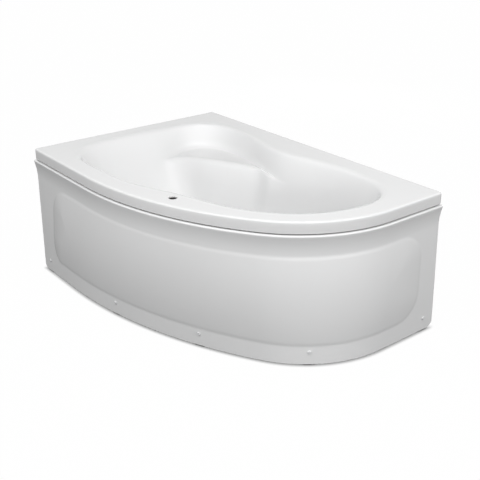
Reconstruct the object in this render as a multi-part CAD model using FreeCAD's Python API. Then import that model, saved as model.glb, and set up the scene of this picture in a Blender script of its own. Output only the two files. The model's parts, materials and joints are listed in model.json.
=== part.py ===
import FreeCAD, Part
import math
import os
from FreeCAD import Vector

# Asymmetric corner bath with a formed front panel, in mm. The origin is on the floor under the centre
# of its box. +X runs along the long wall to the narrow end, +Y points at the long wall, +Z is up.
# Places are measured from the corner where the short wall and the long wall meet.

# Plan of the whole bath
bath_length = 1500.0
bath_width = 1000.0
bath_height = 590.0
front_straight = 475.0        # straight part of the front, from the wide end
end_straight = 283.0          # straight part of the narrow end, from the long wall
bend_angle = 35.9             # turn of the long front arc, in degrees
corner_radius = 12.0

# Tub shell
shell_wall = 6.0
skirt_height = 48.0
rim_edge_radius = 8.0
rim_side = 112.0              # deck width on each side, to the line where the basin starts
rim_wall = 115.0
rim_front = 94.0
rim_end = 103.0
armrest_width = 130.0         # wider deck in the middle of the front
saddle_depth = 52.0           # inward swell of the long wall's deck, where the armrest ridge ends
saddle_place = 710.0          # of its middle, from the short wall
saddle_half_length = 340.0
rim_shoulder = 100.0          # deck width beside the armrest
rim_bend = 90.0               # deck width where the long front arc ends
rim_end_bend = 101.0          # deck width where the tight bend ends
armrest_left_reach = 294.0    # from the armrest's middle to its shoulders
armrest_right_reach = 240.0
lip_start = 445.0             # along the front, where the basin's edge leaves its corner arc
lip_finish_share = 0.85       # of the tight bend, where the basin's edge starts its last corner
front_corner_radius = 165.0
seat_corner_radius = 170.0
foot_corner_radius = 190.0
lip_reach = 22.0              # half length of the rounding between deck and basin wall

# Basin floor: a rounded oval, turned towards the narrow end
basin_floor_height = 165.0    # of the basin's floor over the bathroom's
floor_short_wall_gap = 410.0  # from the short wall to the floor, before its turn
floor_end_gap = 190.0         # from the narrow end
floor_long_wall_gap = 295.0
floor_front_gap = 275.0
floor_turn = 20.0
floor_fullness = 2.5
floor_reach = 62.0            # half length of the rounding between wall and floor

# Corner seat
seat_drop = 112.0
ridge_drop = 86.0
ridge_left_place = 190.0      # the ridge runs from the wide end ...
ridge_left_out = 435.0
ridge_right_place = 760.0     # ... to the long wall
ridge_right_out = 148.0
seat_wall_run = 30.0          # how far the wall above the seat leans in
ridge_least_reach = 60.0      # the least width of the seat
upper_share = 0.26            # where the plain wall's profile bends, as a share of its way down
middle_share = 0.5
ridge_reach = 30.0
seat_reach = 42.0
seat_start_angle = 106.0      # from the floor's centre, in degrees
seat_end_angle = 176.0
seat_fade_angle = 16.0

# Holes in the shell
deck_hole_radius = 17.5
deck_hole_offset = 32.2       # along the front, from the middle of its long arc
deck_hole_inset = 72.0
waste_hole_radius = 26.0
waste_end_gap = 150.0         # from the waste's centre to the floor's narrow end
overflow_hole_radius = 20.0
overflow_drop = 78.0

# Front panel
panel_wall = 4.0
panel_gap = 2.0               # between the rim's skirt and the panel
panel_floor_gap = 3.0
flange_proud = 8.0            # the panel's top bead stands out past the rim
flange_height = 10.0
flange_depth = 30.0
band_depth = 85.0             # height over which the panel draws in below its bead
band_inset = 3.0
panel_return = 28.0           # turned-in edge at each wall
foot_straight = 289.0
foot_end_straight = 313.0
foot_bend_angle = 31.3
foot_front_flare = 4.0
foot_end_flare = 14.0
skirting_radius = 32.0
field_low = 78.0              # raised, cushion-shaped field of the panel
field_top_gap = 5.0           # from the field up to the drawn-in band
field_crown = 14.0            # how far the field's middle stands out
field_start = 150.0           # from the panel's wide end
field_finish = 92.0           # from the panel's narrow end
field_corner_radius = 115.0

# Panel fixings
cap_height = 55.0
cap_pitch = 455.0
cap_end = 60.0
cap_radius = 6.5
cap_edge_radius = 1.3
fixing_clearance = 0.1        # under a screw's head and a cap
cap_height_off_panel = 4.0
screw_radius = 2.0
screw_length = 16.0
screw_head_radius = 4.5
screw_head_height = 2.0
bracket_wall = 2.5
bracket_width = 40.0
bracket_gap = 10.0            # below the raised field
bracket_foot = 38.0
bracket_hole_radius = 3.25
panel_hole_radius = 2.3
clip_count = 4
clip_width = 30.0
clip_wall = 1.5
clip_grip = 18.0              # how far a clip reaches under the panel's top flange
clip_arm = 30.0               # how far it reaches under the batten

# Base board, battens and frame
board_thickness = 16.0
board_margin = 70.0
board_hole_radius = 52.0
batten_thickness = 18.0
batten_width = 40.0
batten_gap = 8.0              # from the skirt to a wall batten
front_batten_start = 14.0
front_batten_finish = 68.0
tube = 25.0
tube_wall = 1.5
rail_offset = 92.0            # of the front and rear rails from the floor's long axis
left_cross_along = -520.0
right_cross_along = 400.0
front_reach = 56.0            # from the rim's edge to the centre of a front post
wall_reach = 38.0             # the same at the long wall
post = 20.0

# Levelling legs
leg_back = 92.0               # from a post to its leg
stud_radius = 6.0
stud_chamfer = 1.0
stud_top = 28.0               # above the rail
pad_radius = 26.0
pad_height = 14.0
pad_base_height = 7.0
pad_grip_radius = 12.0
nut_radius = 10.0
nut_height = 10.0
lock_nut_height = 6.0
leg_clearance = 0.06

# Wall hangers
hanger_width = 60.0
hanger_wall = 3.0
hanger_drop = 72.0
hanger_arm = 42.0
hanger_hole_radius = 3.5
hanger_hole_spacing = 36.0
hanger_hole_drop = 40.0
hanger_skirt_gap = 1.0        # between the hanger and the inside of the skirt
hanger_long_left = 420.0      # along the long wall
hanger_long_right_gap = 190.0  # from the narrow end
hanger_short = 680.0          # along the short wall

# Waste
seat_clearance = 0.3
waste_flange_radius = 35.0
waste_flange_thickness = 3.0
waste_tube_radius = 25.0
waste_bore_radius = 21.0
waste_tube_length = 37.0
waste_gasket_radius = 40.0
waste_gasket_thickness = 4.0
waste_body_radius = 31.0
waste_body_flange = 42.0
waste_body_flange_thickness = 5.0
waste_body_depth = 74.0
waste_spigot_radius = 20.0
waste_spigot_length = 14.0
plastic_wall = 3.0
plug_radius = 30.0
plug_thickness = 4.0
plug_lift = 12.0
plug_edge_share = 0.6         # of the plug's thickness that its edge rounds off
seal_thickness = 2.0
seal_inner_radius = 14.0
seal_outer_radius = 27.0
stem_radius = 4.0
stem_clearance = 0.06
lifter_radius = 7.0
spider_arms = 3
spider_width = 5.0
spider_hub_radius = 8.0
spider_height = 10.0
trap_radius = 38.0
trap_height = 46.0
trap_floor_gap = 12.0
outlet_radius = 20.0
outlet_length = 310.0         # beyond the trap's socket
outlet_spigot_radius = 18.5
outlet_socket_depth = 20.0
union_radius = 27.0
union_height = 16.0
union_lugs = 6

# Overflow
rosette_radius = 36.0
rosette_thickness = 4.0
rosette_edge_share = 0.6      # of the rosette's thickness that its edge rounds off
rosette_bore_radius = 15.0
knob_radius = 31.0
knob_thickness = 9.0
knob_edge_radius = 3.6
knob_grip_length = 50.0
knob_grip_edge = 2.7
knob_grip_width = 9.0
knob_grip_height = 9.0
spindle_radius = 5.0
spindle_clearance = 0.06
overflow_body_radius = 33.0
overflow_body_depth = 30.0
overflow_flange_width = 6.0
overflow_spigot_place = 18.0  # of the hose's spigot, from the flange
spindle_bearing = 9.0
overflow_gasket_thickness = 3.0
hose_radius = 12.5
hose_bore_radius = 9.5
hose_rib_depth = 1.6
hose_rib_pitch = 8.0
hose_rib_slope = 1.2          # length of each side of a rib
hose_rib_root = 2.8           # length of the hollow between two ribs
hose_bend_radius = 62.0
hose_level_drop = 59.0        # of the hose's lower run, below the tub's underside
hose_cuff = 26.0
hose_nut_radius = 17.0
hose_nut_length = 18.0
cable_radius = 2.5

# Derived levels and places
rim_top = bath_height
skirt_bottom = rim_top - skirt_height
deck_underside = rim_top - shell_wall
floor_top = basin_floor_height
floor_place = (bath_length + floor_short_wall_gap - floor_end_gap) / 2
floor_half_length = (bath_length - floor_short_wall_gap - floor_end_gap) / 2
floor_out = (bath_width + floor_long_wall_gap - floor_front_gap) / 2
floor_half_width = (bath_width - floor_long_wall_gap - floor_front_gap) / 2
waste_along = floor_half_length - waste_end_gap
floor_underside = floor_top - shell_wall
board_bottom = floor_underside - board_thickness
frame_top = board_bottom
frame_bottom = frame_top - tube
batten_bottom = deck_underside - batten_thickness
panel_top = skirt_bottom - panel_gap
face_top = panel_top - band_depth
face_height = face_top - panel_floor_gap
field_high = face_top - field_top_gap
field_middle = (field_low + field_high) / 2
field_half_height = (field_high - field_low) / 2
bracket_height = field_low - bracket_gap


def panel_reach(flare):
    """How far the panel stands out past the rim: at its bead, its foot or its field's crown."""
    lean = (flare + band_inset) / face_height
    middle = lean * (face_top - field_middle) - band_inset
    crown = middle + field_crown + (lean * field_half_height) ** 2 / (4 * field_crown)
    return max(flange_proud, flare, crown)


# The two walls' lines, with the origin under the centre of the box
wall_x = -(bath_length + panel_reach(foot_end_flare)) / 2
wall_y = (bath_width + panel_reach(foot_front_flare)) / 2

# Resolution of the free-form basin
LIP_STATIONS = 64
CORNER_STEPS = 4
SURFACE_DEGREE = 3
PROFILE_OVERRUN = 3           # how far a profile runs onto the deck and the floor, in roundings
ROUNDING_LIMIT = 0.46         # the most of a profile's side that one rounding may take
FIELD_PITCH = 24.0            # between the points that the raised field's face runs through
FIELD_OVERRUN = 24.0          # how far that face runs on under the panel's own face
FIELD_BACKING = 40.0          # depth of the solid behind it
PROBE = 20.0                  # distance between the points that give a surface's direction
MARGIN = 50.0                 # how far a cutting tool runs past what it cuts
SADDLE_STEPS = 3              # points on each side of the swell in the long wall's deck
NEAR = 0.01                   # places closer than this are one place


class Plan:
    """Plan outline: two wall sides, a front straight, two tangent arcs and an end straight."""

    def __init__(self, length, width, straight, end, angle):
        self.left = wall_x
        self.back = wall_y
        self.right = self.left + length
        self.front = self.back - width
        self.straight = straight
        self.angle = math.radians(angle)
        sin_a = math.sin(self.angle)
        cos_a = math.cos(self.angle)
        run = length - straight
        rise = width - end
        share = sin_a + cos_a - 1
        self.long_radius = (run * cos_a - rise * (1 - sin_a)) / share
        self.short_radius = (rise * sin_a - run * (1 - cos_a)) / share
        self.long_centre = Vector(self.left + straight, self.front + self.long_radius, 0)
        meet = self.long_centre + outward(self.angle) * self.long_radius
        self.short_centre = meet - outward(self.angle) * self.short_radius
        self.long_length = self.long_radius * self.angle
        self.short_length = self.short_radius * (math.pi / 2 - self.angle)
        self.stretches = [straight, self.long_length, self.short_length, self.back - self.short_centre.y]
        self.front_length = sum(self.stretches)

    def wire(self, inset, wall_inset, z):
        """Closed outline at height z, moved in by inset on the open sides and wall_inset at the walls."""
        x0 = self.left + wall_inset
        y1 = self.back - wall_inset
        start = Vector(x0, self.front + inset, z)
        long_start = Vector(self.long_centre.x, self.front + inset, z)
        meet = raised(self.long_centre + outward(self.angle) * (self.long_radius - inset), z)
        short_end = Vector(self.right - inset, self.short_centre.y, z)
        long_mid = raised(self.long_centre + outward(self.angle / 2) * (self.long_radius - inset), z)
        half_turn = (self.angle + math.pi / 2) / 2
        short_mid = raised(self.short_centre + outward(half_turn) * (self.short_radius - inset), z)
        edges = [
            Part.makeLine(start, long_start),
            Part.Arc(long_start, long_mid, meet).toShape(),
            Part.Arc(meet, short_mid, short_end).toShape(),
            Part.makeLine(short_end, Vector(self.right - inset, y1, z)),
            Part.makeLine(Vector(self.right - inset, y1, z), Vector(x0, y1, z)),
            Part.makeLine(Vector(x0, y1, z), start),
        ]
        return Part.Wire(edges)

    def at(self, station, inset, z=0.0):
        """Point and outward normal at a distance along the open side, from the wide end."""
        along_long = station - self.straight
        along_short = along_long - self.long_length
        along_end = along_short - self.short_length
        if along_long <= 0:
            normal = outward(0)
            edge = Vector(self.left + station, self.front, 0)
        elif along_short <= 0:
            normal = outward(along_long / self.long_radius)
            edge = self.long_centre + normal * self.long_radius
        elif along_end <= 0:
            normal = outward(self.angle + along_short / self.short_radius)
            edge = self.short_centre + normal * self.short_radius
        else:
            normal = outward(math.pi / 2)
            edge = Vector(self.right, self.short_centre.y + along_end, 0)
        return raised(edge - normal * inset, z), normal


def outward(angle):
    """Outward direction on the front, which turns from -Y to +X."""
    return Vector(math.sin(angle), -math.cos(angle), 0)


def raised(point, z):
    return Vector(point.x, point.y, z)


def from_corner(place, out):
    """A point at a distance along the long wall and a distance out from it."""
    return Vector(wall_x + place, wall_y - out, 0)


rim_plan = Plan(bath_length, bath_width, front_straight, end_straight, bend_angle)
foot_plan = Plan(bath_length + foot_end_flare, bath_width + foot_front_flare,
                 foot_straight, foot_end_straight, foot_bend_angle)
floor_centre = from_corner(floor_place, floor_out)
floor_axis = Vector(math.cos(math.radians(floor_turn)), math.sin(math.radians(floor_turn)), 0)
floor_side = Vector(-floor_axis.y, floor_axis.x, 0)
waste_centre = floor_centre + floor_axis * waste_along
deck_hole_station = front_straight + rim_plan.long_length / 2 + deck_hole_offset


# ---- small helpers -------------------------------------------------------------------------------

def prism(wire, height):
    return Part.Face(wire).extrude(Vector(0, 0, height))


def cylinder(radius, low, high, centre):
    return Part.makeCylinder(radius, high - low, raised(centre, low))


def ring(outer, inner, low, high, centre):
    hole = cylinder(inner, low - MARGIN, high + MARGIN, centre)
    return cylinder(outer, low, high, centre).cut(hole)


def box(low, high):
    return Part.makeBox(high.x - low.x, high.y - low.y, high.z - low.z, low)


def placed(shape, origin, x_axis, z_axis):
    """The shape, drawn about the origin, moved so its own X and Z lie on the given directions."""
    y_axis = z_axis.cross(x_axis)
    matrix = FreeCAD.Matrix(x_axis.x, y_axis.x, z_axis.x, origin.x,
                            x_axis.y, y_axis.y, z_axis.y, origin.y,
                            x_axis.z, y_axis.z, z_axis.z, origin.z,
                            0, 0, 0, 1)
    copy = shape.copy()
    copy.Placement = FreeCAD.Placement(matrix).multiply(shape.Placement)
    return copy


def hexagon(radius, low, high, centre):
    """Six-sided prism whose corners lie on the radius."""
    corners = []
    for turn in range(6):
        angle = math.radians(60 * turn)
        corners.append(raised(centre, low) + Vector(math.cos(angle), math.sin(angle), 0) * radius)
    corners.append(corners[0])
    return prism(Part.makePolygon(corners), high - low)


def largest_solid(shape):
    return max(shape.Solids, key=lambda solid: solid.Volume)


def write(node, solids):
    """One STEP per node, from a solid or a list of separate solids."""
    if isinstance(solids, list):
        shape = Part.makeCompound([part for item in solids for part in item.Solids])
    else:
        shape = Part.makeCompound(solids.Solids)
    if not shape.Solids:
        raise ValueError(node + " has no solid")
    shape.exportStep("parts/" + node + ".step")
    print(node, len(shape.Solids), round(shape.Volume), shape.isValid())


# ---- basin ---------------------------------------------------------------------------------------

def lip_points():
    """Points of the basin's edge on the deck, from the wide end along the front to the long wall."""
    side = rim_plan.left + rim_side
    wall = rim_plan.back - rim_wall
    front = rim_plan.front + rim_front
    end = rim_plan.right - rim_end
    bend_start = front_straight + rim_plan.long_length
    points = corner_arc(side, front, front_corner_radius, 180, 270)
    front_stations = [
        (lip_start, rim_front),
        (deck_hole_station - armrest_left_reach, rim_shoulder),
        (deck_hole_station, armrest_width),
        (deck_hole_station + armrest_right_reach, rim_shoulder),
        (bend_start, rim_bend),
        (bend_start + rim_plan.short_length / 2, rim_front),
        (bend_start + rim_plan.short_length * lip_finish_share, rim_end_bend),
    ]
    points += [rim_plan.at(station, inset)[0] for station, inset in front_stations]
    points += corner_arc(end, wall, foot_corner_radius, 0, 90)
    points += saddle_points(wall)
    points += corner_arc(side, wall, seat_corner_radius, 90, 180)
    return points


def corner_arc(x, y, radius, start, finish):
    """Points of the arc that rounds a corner of the basin's edge at x, y."""
    middle = math.radians((start + finish) / 2)
    centre = Vector(x, y, 0) - Vector(sign(math.cos(middle)), sign(math.sin(middle)), 0) * radius
    points = []
    for step in range(CORNER_STEPS):
        angle = math.radians(start + (finish - start) * step / (CORNER_STEPS - 1))
        points.append(centre + Vector(math.cos(angle), math.sin(angle), 0) * radius)
    return points


def sign(value):
    return math.copysign(1.0, value)


def saddle_points(wall):
    """The long wall's edge swells inwards where the armrest ridge meets it."""
    points = []
    for step in range(1 - SADDLE_STEPS, SADDLE_STEPS):
        offset = -saddle_half_length * step / SADDLE_STEPS
        swell = saddle_depth * (1 + math.cos(math.pi * offset / saddle_half_length)) / 2
        points.append(Vector(wall_x + saddle_place + offset, wall - swell, 0))
    return points


def floor_radius(angle, margin=0.0):
    """Distance from the floor's centre to its edge, moved in by margin."""
    local = angle - math.radians(floor_turn)
    along = abs(math.cos(local)) / (floor_half_length - margin)
    across = abs(math.sin(local)) / (floor_half_width - margin)
    return (along ** floor_fullness + across ** floor_fullness) ** (-1 / floor_fullness)


def ridge_distance(angle):
    """Distance from the floor's centre to the line of the armrest ridge."""
    left = from_corner(ridge_left_place, ridge_left_out)
    line = from_corner(ridge_right_place, ridge_right_out) - left
    normal = Vector(-line.y, line.x, 0).normalize()
    direction = Vector(math.cos(angle), math.sin(angle), 0)
    return normal.dot(left - floor_centre) / normal.dot(direction)


def smooth(value):
    value = min(max(value, 0.0), 1.0)
    return value * value * (3 - 2 * value)


def seat_share(angle):
    """1 over the corner seat, 0 over the plain wall, with a soft change between them."""
    degrees = math.degrees(angle) % 360
    rise = smooth((degrees - seat_start_angle) / seat_fade_angle)
    fall = smooth((seat_end_angle - degrees) / seat_fade_angle)
    return rise * fall


def wall_corners(lip, angle):
    """Corners of the basin wall's profile, as (distance from the floor's centre, height)."""
    foot = floor_radius(angle)
    share = seat_share(angle)
    plain_seat = blend((lip, rim_top), (foot, floor_top), upper_share)
    plain_ridge = blend((lip, rim_top), (foot, floor_top), middle_share)
    corners = [(lip, rim_top), plain_seat, plain_ridge, (foot, floor_top)]
    if share > 0:
        seat = (lip - seat_wall_run, rim_top - seat_drop)
        ridge = (min(ridge_distance(angle), lip - ridge_least_reach), rim_top - ridge_drop)
        corners[1] = blend(plain_seat, seat, share)
        corners[2] = blend(plain_ridge, ridge, share)
    return corners


def blend(first, second, share):
    return (first[0] + (second[0] - first[0]) * share, first[1] + (second[1] - first[1]) * share)


def toward(start, finish, reach):
    length = math.hypot(finish[0] - start[0], finish[1] - start[1])
    return blend(start, finish, min(reach / length, ROUNDING_LIMIT))


def rounded_profile(corners, reaches):
    """Profile points: each corner becomes a short curve that leaves and joins its sides tangentially."""
    points = []
    for index, reach in enumerate(reaches, 1):
        before = toward(corners[index], corners[index - 1], reach)
        after = toward(corners[index], corners[index + 1], reach)
        for step in range(CORNER_STEPS + 1):
            share = step / CORNER_STEPS
            entering = blend(before, corners[index], share)
            leaving = blend(corners[index], after, share)
            points.append(blend(entering, leaving, share))
    return points


def inner_profile(lip, angle):
    corners = wall_corners(lip, angle)
    deck_end = (lip + PROFILE_OVERRUN * lip_reach, rim_top)
    floor_end = (corners[-1][0] - PROFILE_OVERRUN * floor_reach, floor_top)
    corners = [deck_end] + corners + [floor_end]
    return rounded_profile(corners, [lip_reach, seat_reach, ridge_reach, floor_reach])


def outer_profile(lip, angle):
    """The underside: the same wall, moved outwards by the shell's thickness."""
    corners = wall_corners(lip, angle)
    corners.append((corners[-1][0] - PROFILE_OVERRUN * floor_reach, floor_top))
    moved = []
    for index, corner in enumerate(corners[:-1]):
        after = unit_normal(corner, corners[index + 1])
        before = unit_normal(corners[index - 1], corner) if index else after
        scale = shell_wall / (1 + before[0] * after[0] + before[1] * after[1])
        moved.append((corner[0] + (before[0] + after[0]) * scale, corner[1] + (before[1] + after[1]) * scale))
    moved.append((corners[-1][0], floor_underside))
    start = (moved[0][0], rim_top - shell_wall / 2)
    points = rounded_profile(moved, [seat_reach + shell_wall, ridge_reach, floor_reach])
    return [start] + points


def unit_normal(start, finish):
    """Normal of a profile side that runs inwards and down, pointing away from the basin."""
    dx = finish[0] - start[0]
    dz = finish[1] - start[1]
    length = math.hypot(dx, dz)
    return (-dz / length, dx / length)


def basin_solid(profile):
    """Solid bounded by one smooth surface, whose poles are the same point of every profile in turn."""
    edge = Part.BSplineCurve()
    edge.interpolate(Points=lip_points(), PeriodicFlag=True)
    poles = []
    for point in edge.toShape().discretize(LIP_STATIONS + 1)[:-1]:
        arm = point - floor_centre
        direction = Vector(arm).normalize()
        points = []
        for distance, height in profile(arm.Length, math.atan2(arm.y, arm.x)):
            points.append(raised(floor_centre + direction * distance, height))
        poles.append(points)
    levels = len(poles[0])
    spans = levels - SURFACE_DEGREE
    end = SURFACE_DEGREE + 1
    surface = Part.BSplineSurface()
    surface.buildFromPolesMultsKnots(
        poles,
        [1] * (LIP_STATIONS + 1),
        [end] + [1] * (spans - 1) + [end],
        [float(index) for index in range(LIP_STATIONS + 1)],
        [float(index) for index in range(spans + 1)],
        True, False, SURFACE_DEGREE, SURFACE_DEGREE)
    wall = surface.toShape()
    rings = [edge for edge in wall.Edges if edge.isClosed()]
    caps = [Part.Face(Part.Wire(ring)) for ring in rings]
    shell = Part.makeShell([wall] + caps)
    shell.sewShape()
    return Part.makeSolid(shell)


# ---- tub shell -----------------------------------------------------------------------------------

def deck_block():
    """Deck and skirt: a rounded block, hollow below the deck."""
    block = prism(rim_plan.wire(0, 0, skirt_bottom), skirt_height)
    corners = [
        Vector(rim_plan.left, rim_plan.front, 0),
        Vector(rim_plan.right, rim_plan.back, 0),
        Vector(rim_plan.left, rim_plan.back, 0),
    ]
    upright = [edge for edge in block.Edges if is_upright_at(edge, corners)]
    block = block.makeFillet(corner_radius, upright)
    top = [edge for edge in block.Edges if edge.BoundBox.ZMin > rim_top - NEAR]
    block = block.makeFillet(rim_edge_radius, top)
    hollow_height = deck_underside - skirt_bottom + MARGIN
    hollow = prism(rim_plan.wire(shell_wall, shell_wall, skirt_bottom - MARGIN), hollow_height)
    return block.cut(hollow)


def is_upright_at(edge, corners):
    if edge.BoundBox.ZLength < skirt_height / 2:
        return False
    middle = edge.BoundBox.Center
    return any(math.hypot(middle.x - corner.x, middle.y - corner.y) < 1 for corner in corners)


def deck_hole_centre():
    return rim_plan.at(deck_hole_station, deck_hole_inset)[0]


def tub_shell(inner, outer, overflow_hole):
    shell = deck_block().fuse(outer).cut(inner)
    deck_hole = cylinder(deck_hole_radius, deck_underside - MARGIN, rim_top + MARGIN, deck_hole_centre())
    waste_hole = cylinder(waste_hole_radius, floor_underside - MARGIN, floor_top + MARGIN, waste_centre)
    return largest_solid(shell.cut(deck_hole).cut(waste_hole).cut(overflow_hole))


# ---- front panel ---------------------------------------------------------------------------------

def panel_drum(inset, wall_inset):
    """Solid that fills the panel's outline, moved in by inset: bead, drawn-in band and leaning face."""
    levels = [
        rim_plan.wire(inset - flange_proud, wall_inset, panel_top + min(0.0, -inset)),
        rim_plan.wire(inset - flange_proud, wall_inset, panel_top - flange_height),
        rim_plan.wire(inset + band_inset, wall_inset, face_top),
        foot_plan.wire(inset, wall_inset, panel_floor_gap),
    ]
    return Part.makeLoft(levels, True, True)


def foot_station(station):
    """The station of the foot's outline that lies under a station of the rim's."""
    rim_start = 0.0
    foot_start = 0.0
    for rim_length, foot_length in zip(rim_plan.stretches[:-1], foot_plan.stretches[:-1]):
        if station <= rim_start + rim_length:
            break
        rim_start += rim_length
        foot_start += foot_length
    else:
        rim_length = rim_plan.stretches[-1]
        foot_length = foot_plan.stretches[-1]
    return foot_start + (station - rim_start) * foot_length / rim_length


def leaning_point(station, z, inset):
    """Point of the panel's leaning face, moved in by inset, and the rim's outward normal there."""
    top, normal = rim_plan.at(station, inset + band_inset, face_top)
    foot = foot_plan.at(foot_station(station), inset, panel_floor_gap)[0]
    return top + (foot - top) * ((face_top - z) / face_height), normal


def field_bulge(station, z):
    """How far the field's face stands out there; below zero outside the field's rounded outline."""
    finish = rim_plan.front_length - field_finish
    middle = (field_start + finish) / 2
    across = abs(station - middle) - (finish - field_start) / 2 + field_corner_radius
    upward = abs(z - field_middle) - field_half_height + field_corner_radius
    outside = math.hypot(max(across, 0.0), max(upward, 0.0)) + min(max(across, upward), 0.0)
    depth = field_corner_radius - outside
    return field_crown * (1 - (1 - min(depth / field_half_height, 1.0)) ** 2)


def evenly(start, finish, pitch):
    count = math.ceil((finish - start) / pitch)
    return [start + (finish - start) * step / count for step in range(count + 1)]


def field_block(inset):
    """Solid whose outer face is the raised field's, moved in by inset."""
    finish = rim_plan.front_length - field_finish
    stations = evenly(field_start - FIELD_OVERRUN, finish + FIELD_OVERRUN, FIELD_PITCH)
    heights = evenly(field_low - FIELD_OVERRUN, field_high + FIELD_OVERRUN / 2, FIELD_PITCH)
    outer = []
    backing = []
    for station in stations:
        bases = [leaning_point(station, z, inset) for z in heights]
        outer.append([point + normal * field_bulge(station, z) for (point, normal), z in zip(bases, heights)])
        backing.append([point - normal * FIELD_BACKING for point, normal in bases])
    faces = [smooth_face(outer), smooth_face(backing)]
    sides = [Part.makeRuledSurface(near, far) for near, far in zip(faces[0].Edges, faces[1].Edges)]
    shell = Part.makeShell(faces + sides)
    shell.sewShape()
    return Part.makeSolid(shell)


def smooth_face(points):
    surface = Part.BSplineSurface()
    surface.interpolate(points)
    return surface.toShape()


def panel_body(inset):
    """Everything inside the panel's outer face, moved in by inset."""
    return panel_drum(inset, inset).fuse(field_block(inset))


def front_panel(drills):
    middle = prism(rim_plan.wire(flange_depth, panel_return, panel_top - MARGIN), 2 * MARGIN)
    outside = panel_body(0)
    for drill in drills:
        outside = outside.cut(drill)
    panel = outside.cut(panel_body(panel_wall)).cut(middle)
    return largest_solid(panel.cut(panel_opening()).cut(skirting_cuts()))


def panel_opening():
    """What is cut away at the walls, which leaves a turned-in edge at each end of the panel."""
    high = panel_top + MARGIN
    wall_side = box(Vector(rim_plan.left - MARGIN, rim_plan.front + panel_return, -MARGIN),
                    Vector(rim_plan.left + MARGIN, rim_plan.back + MARGIN, high))
    long_side = box(Vector(rim_plan.left - MARGIN, rim_plan.back - MARGIN, -MARGIN),
                    Vector(rim_plan.right - panel_return, rim_plan.back + MARGIN, high))
    return wall_side.fuse(long_side)


def skirting_cuts():
    """Rounded cut-outs at the panel's lower ends, where a wall's skirting runs."""
    radius = skirting_radius
    left = rim_plan.left
    back = rim_plan.back
    left_tool = box(Vector(left - MARGIN, foot_plan.front - MARGIN, -MARGIN),
                    Vector(left + radius, foot_plan.front + panel_return + MARGIN, panel_floor_gap + radius))
    left_round = Part.makeCylinder(radius, 4 * MARGIN, Vector(left + radius, foot_plan.front - 2 * MARGIN,
                                                              panel_floor_gap + radius), Vector(0, 1, 0))
    right_tool = box(Vector(foot_plan.right - panel_return - MARGIN, back - radius, -MARGIN),
                     Vector(foot_plan.right + MARGIN, back + MARGIN, panel_floor_gap + radius))
    right_round = Part.makeCylinder(radius, 4 * MARGIN, Vector(foot_plan.right - 2 * MARGIN, back - radius,
                                                               panel_floor_gap + radius), Vector(1, 0, 0))
    return left_tool.cut(left_round).fuse(right_tool.cut(right_round))


# ---- panel fixings -------------------------------------------------------------------------------

def cap_stations():
    """Where the panel is screwed: both ends, the middle and a pitch either side of it."""
    middle = rim_plan.front_length / 2
    return [cap_end, middle - cap_pitch, middle, middle + cap_pitch, rim_plan.front_length - cap_end]


def face_point(drum, station, height):
    """Where a level line at a station of the front leaves a drum of the panel's outline."""
    edge, normal = rim_plan.at(station, 0, height)
    line = Part.makeLine(edge - normal * MARGIN, edge + normal * MARGIN)
    return farthest(drum.common(line), edge - normal * MARGIN)


def face_normal(drum, station, height):
    here = face_point(drum, station, height)
    beside = face_point(drum, station + PROBE, height) - face_point(drum, station - PROBE, height)
    above = face_point(drum, station, height + PROBE) - here
    return beside.cross(above).normalize()


def panel_screw_axes():
    """For each fixing: a point just off the panel's outer face, and the face's normal there."""
    drum = panel_drum(0, 0)
    axes = []
    for station in cap_stations():
        normal = face_normal(drum, station, cap_height)
        axes.append((face_point(drum, station, cap_height) + normal * fixing_clearance, normal))
    return axes


def turned(shape, origin, normal):
    """A shape drawn along +Z, moved to the origin and turned so +Z lies on the normal."""
    level = Vector(0, 0, 1).cross(normal).normalize()
    return placed(shape, origin, level, normal)


def panel_screws(axes):
    shank = Part.makeCylinder(screw_radius, screw_length, Vector(0, 0, -screw_length))
    head = Part.makeCylinder(screw_head_radius, screw_head_height)
    return [turned(shank.fuse(head), origin, normal) for origin, normal in axes]


def screw_caps(axes):
    cap = Part.makeCylinder(cap_radius, cap_height_off_panel)
    top = [edge for edge in cap.Edges if edge.BoundBox.ZMin > cap_height_off_panel - NEAR]
    cap = cap.makeFillet(cap_edge_radius, top)
    cavity = Part.makeCylinder(screw_head_radius + seat_clearance, screw_head_height + seat_clearance)
    return [turned(cap.cut(cavity), origin, normal) for origin, normal in axes]


def screw_holes(axes, radius):
    drill = Part.makeCylinder(radius, 2 * MARGIN, Vector(0, 0, -MARGIN))
    return [turned(drill, origin, normal) for origin, normal in axes]


def panel_floor_brackets(axes):
    """Steel angles that stand on the floor behind the panel and take its screws."""
    drum = panel_drum(panel_wall, panel_wall)
    plate = box(Vector(-bracket_wall, -bracket_width / 2, 0), Vector(0, bracket_width / 2, bracket_height))
    foot = box(Vector(-bracket_foot, -bracket_width / 2, 0),
               Vector(-bracket_wall, bracket_width / 2, bracket_wall))
    hole_place = Vector(-(bracket_foot + bracket_wall) / 2, 0, -MARGIN)
    floor_hole = Part.makeCylinder(bracket_hole_radius, 2 * MARGIN, hole_place)
    angle = plate.fuse(foot).cut(floor_hole)
    holes = screw_holes(axes, screw_radius + leg_clearance)
    brackets = []
    for station, (origin, normal) in zip(cap_stations(), axes):
        level = raised(normal, 0).normalize()
        reaches = []
        for along in (-bracket_width / 2, 0, bracket_width / 2):
            for height in (panel_floor_gap, bracket_height):
                reaches.append((face_point(drum, station + along, height) - origin).dot(level))
        base = raised(origin + level * (min(reaches) - seat_clearance), 0)
        brackets.append(placed(angle, base, level, Vector(0, 0, 1)).cut(Part.makeCompound(holes)))
    return brackets


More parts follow.
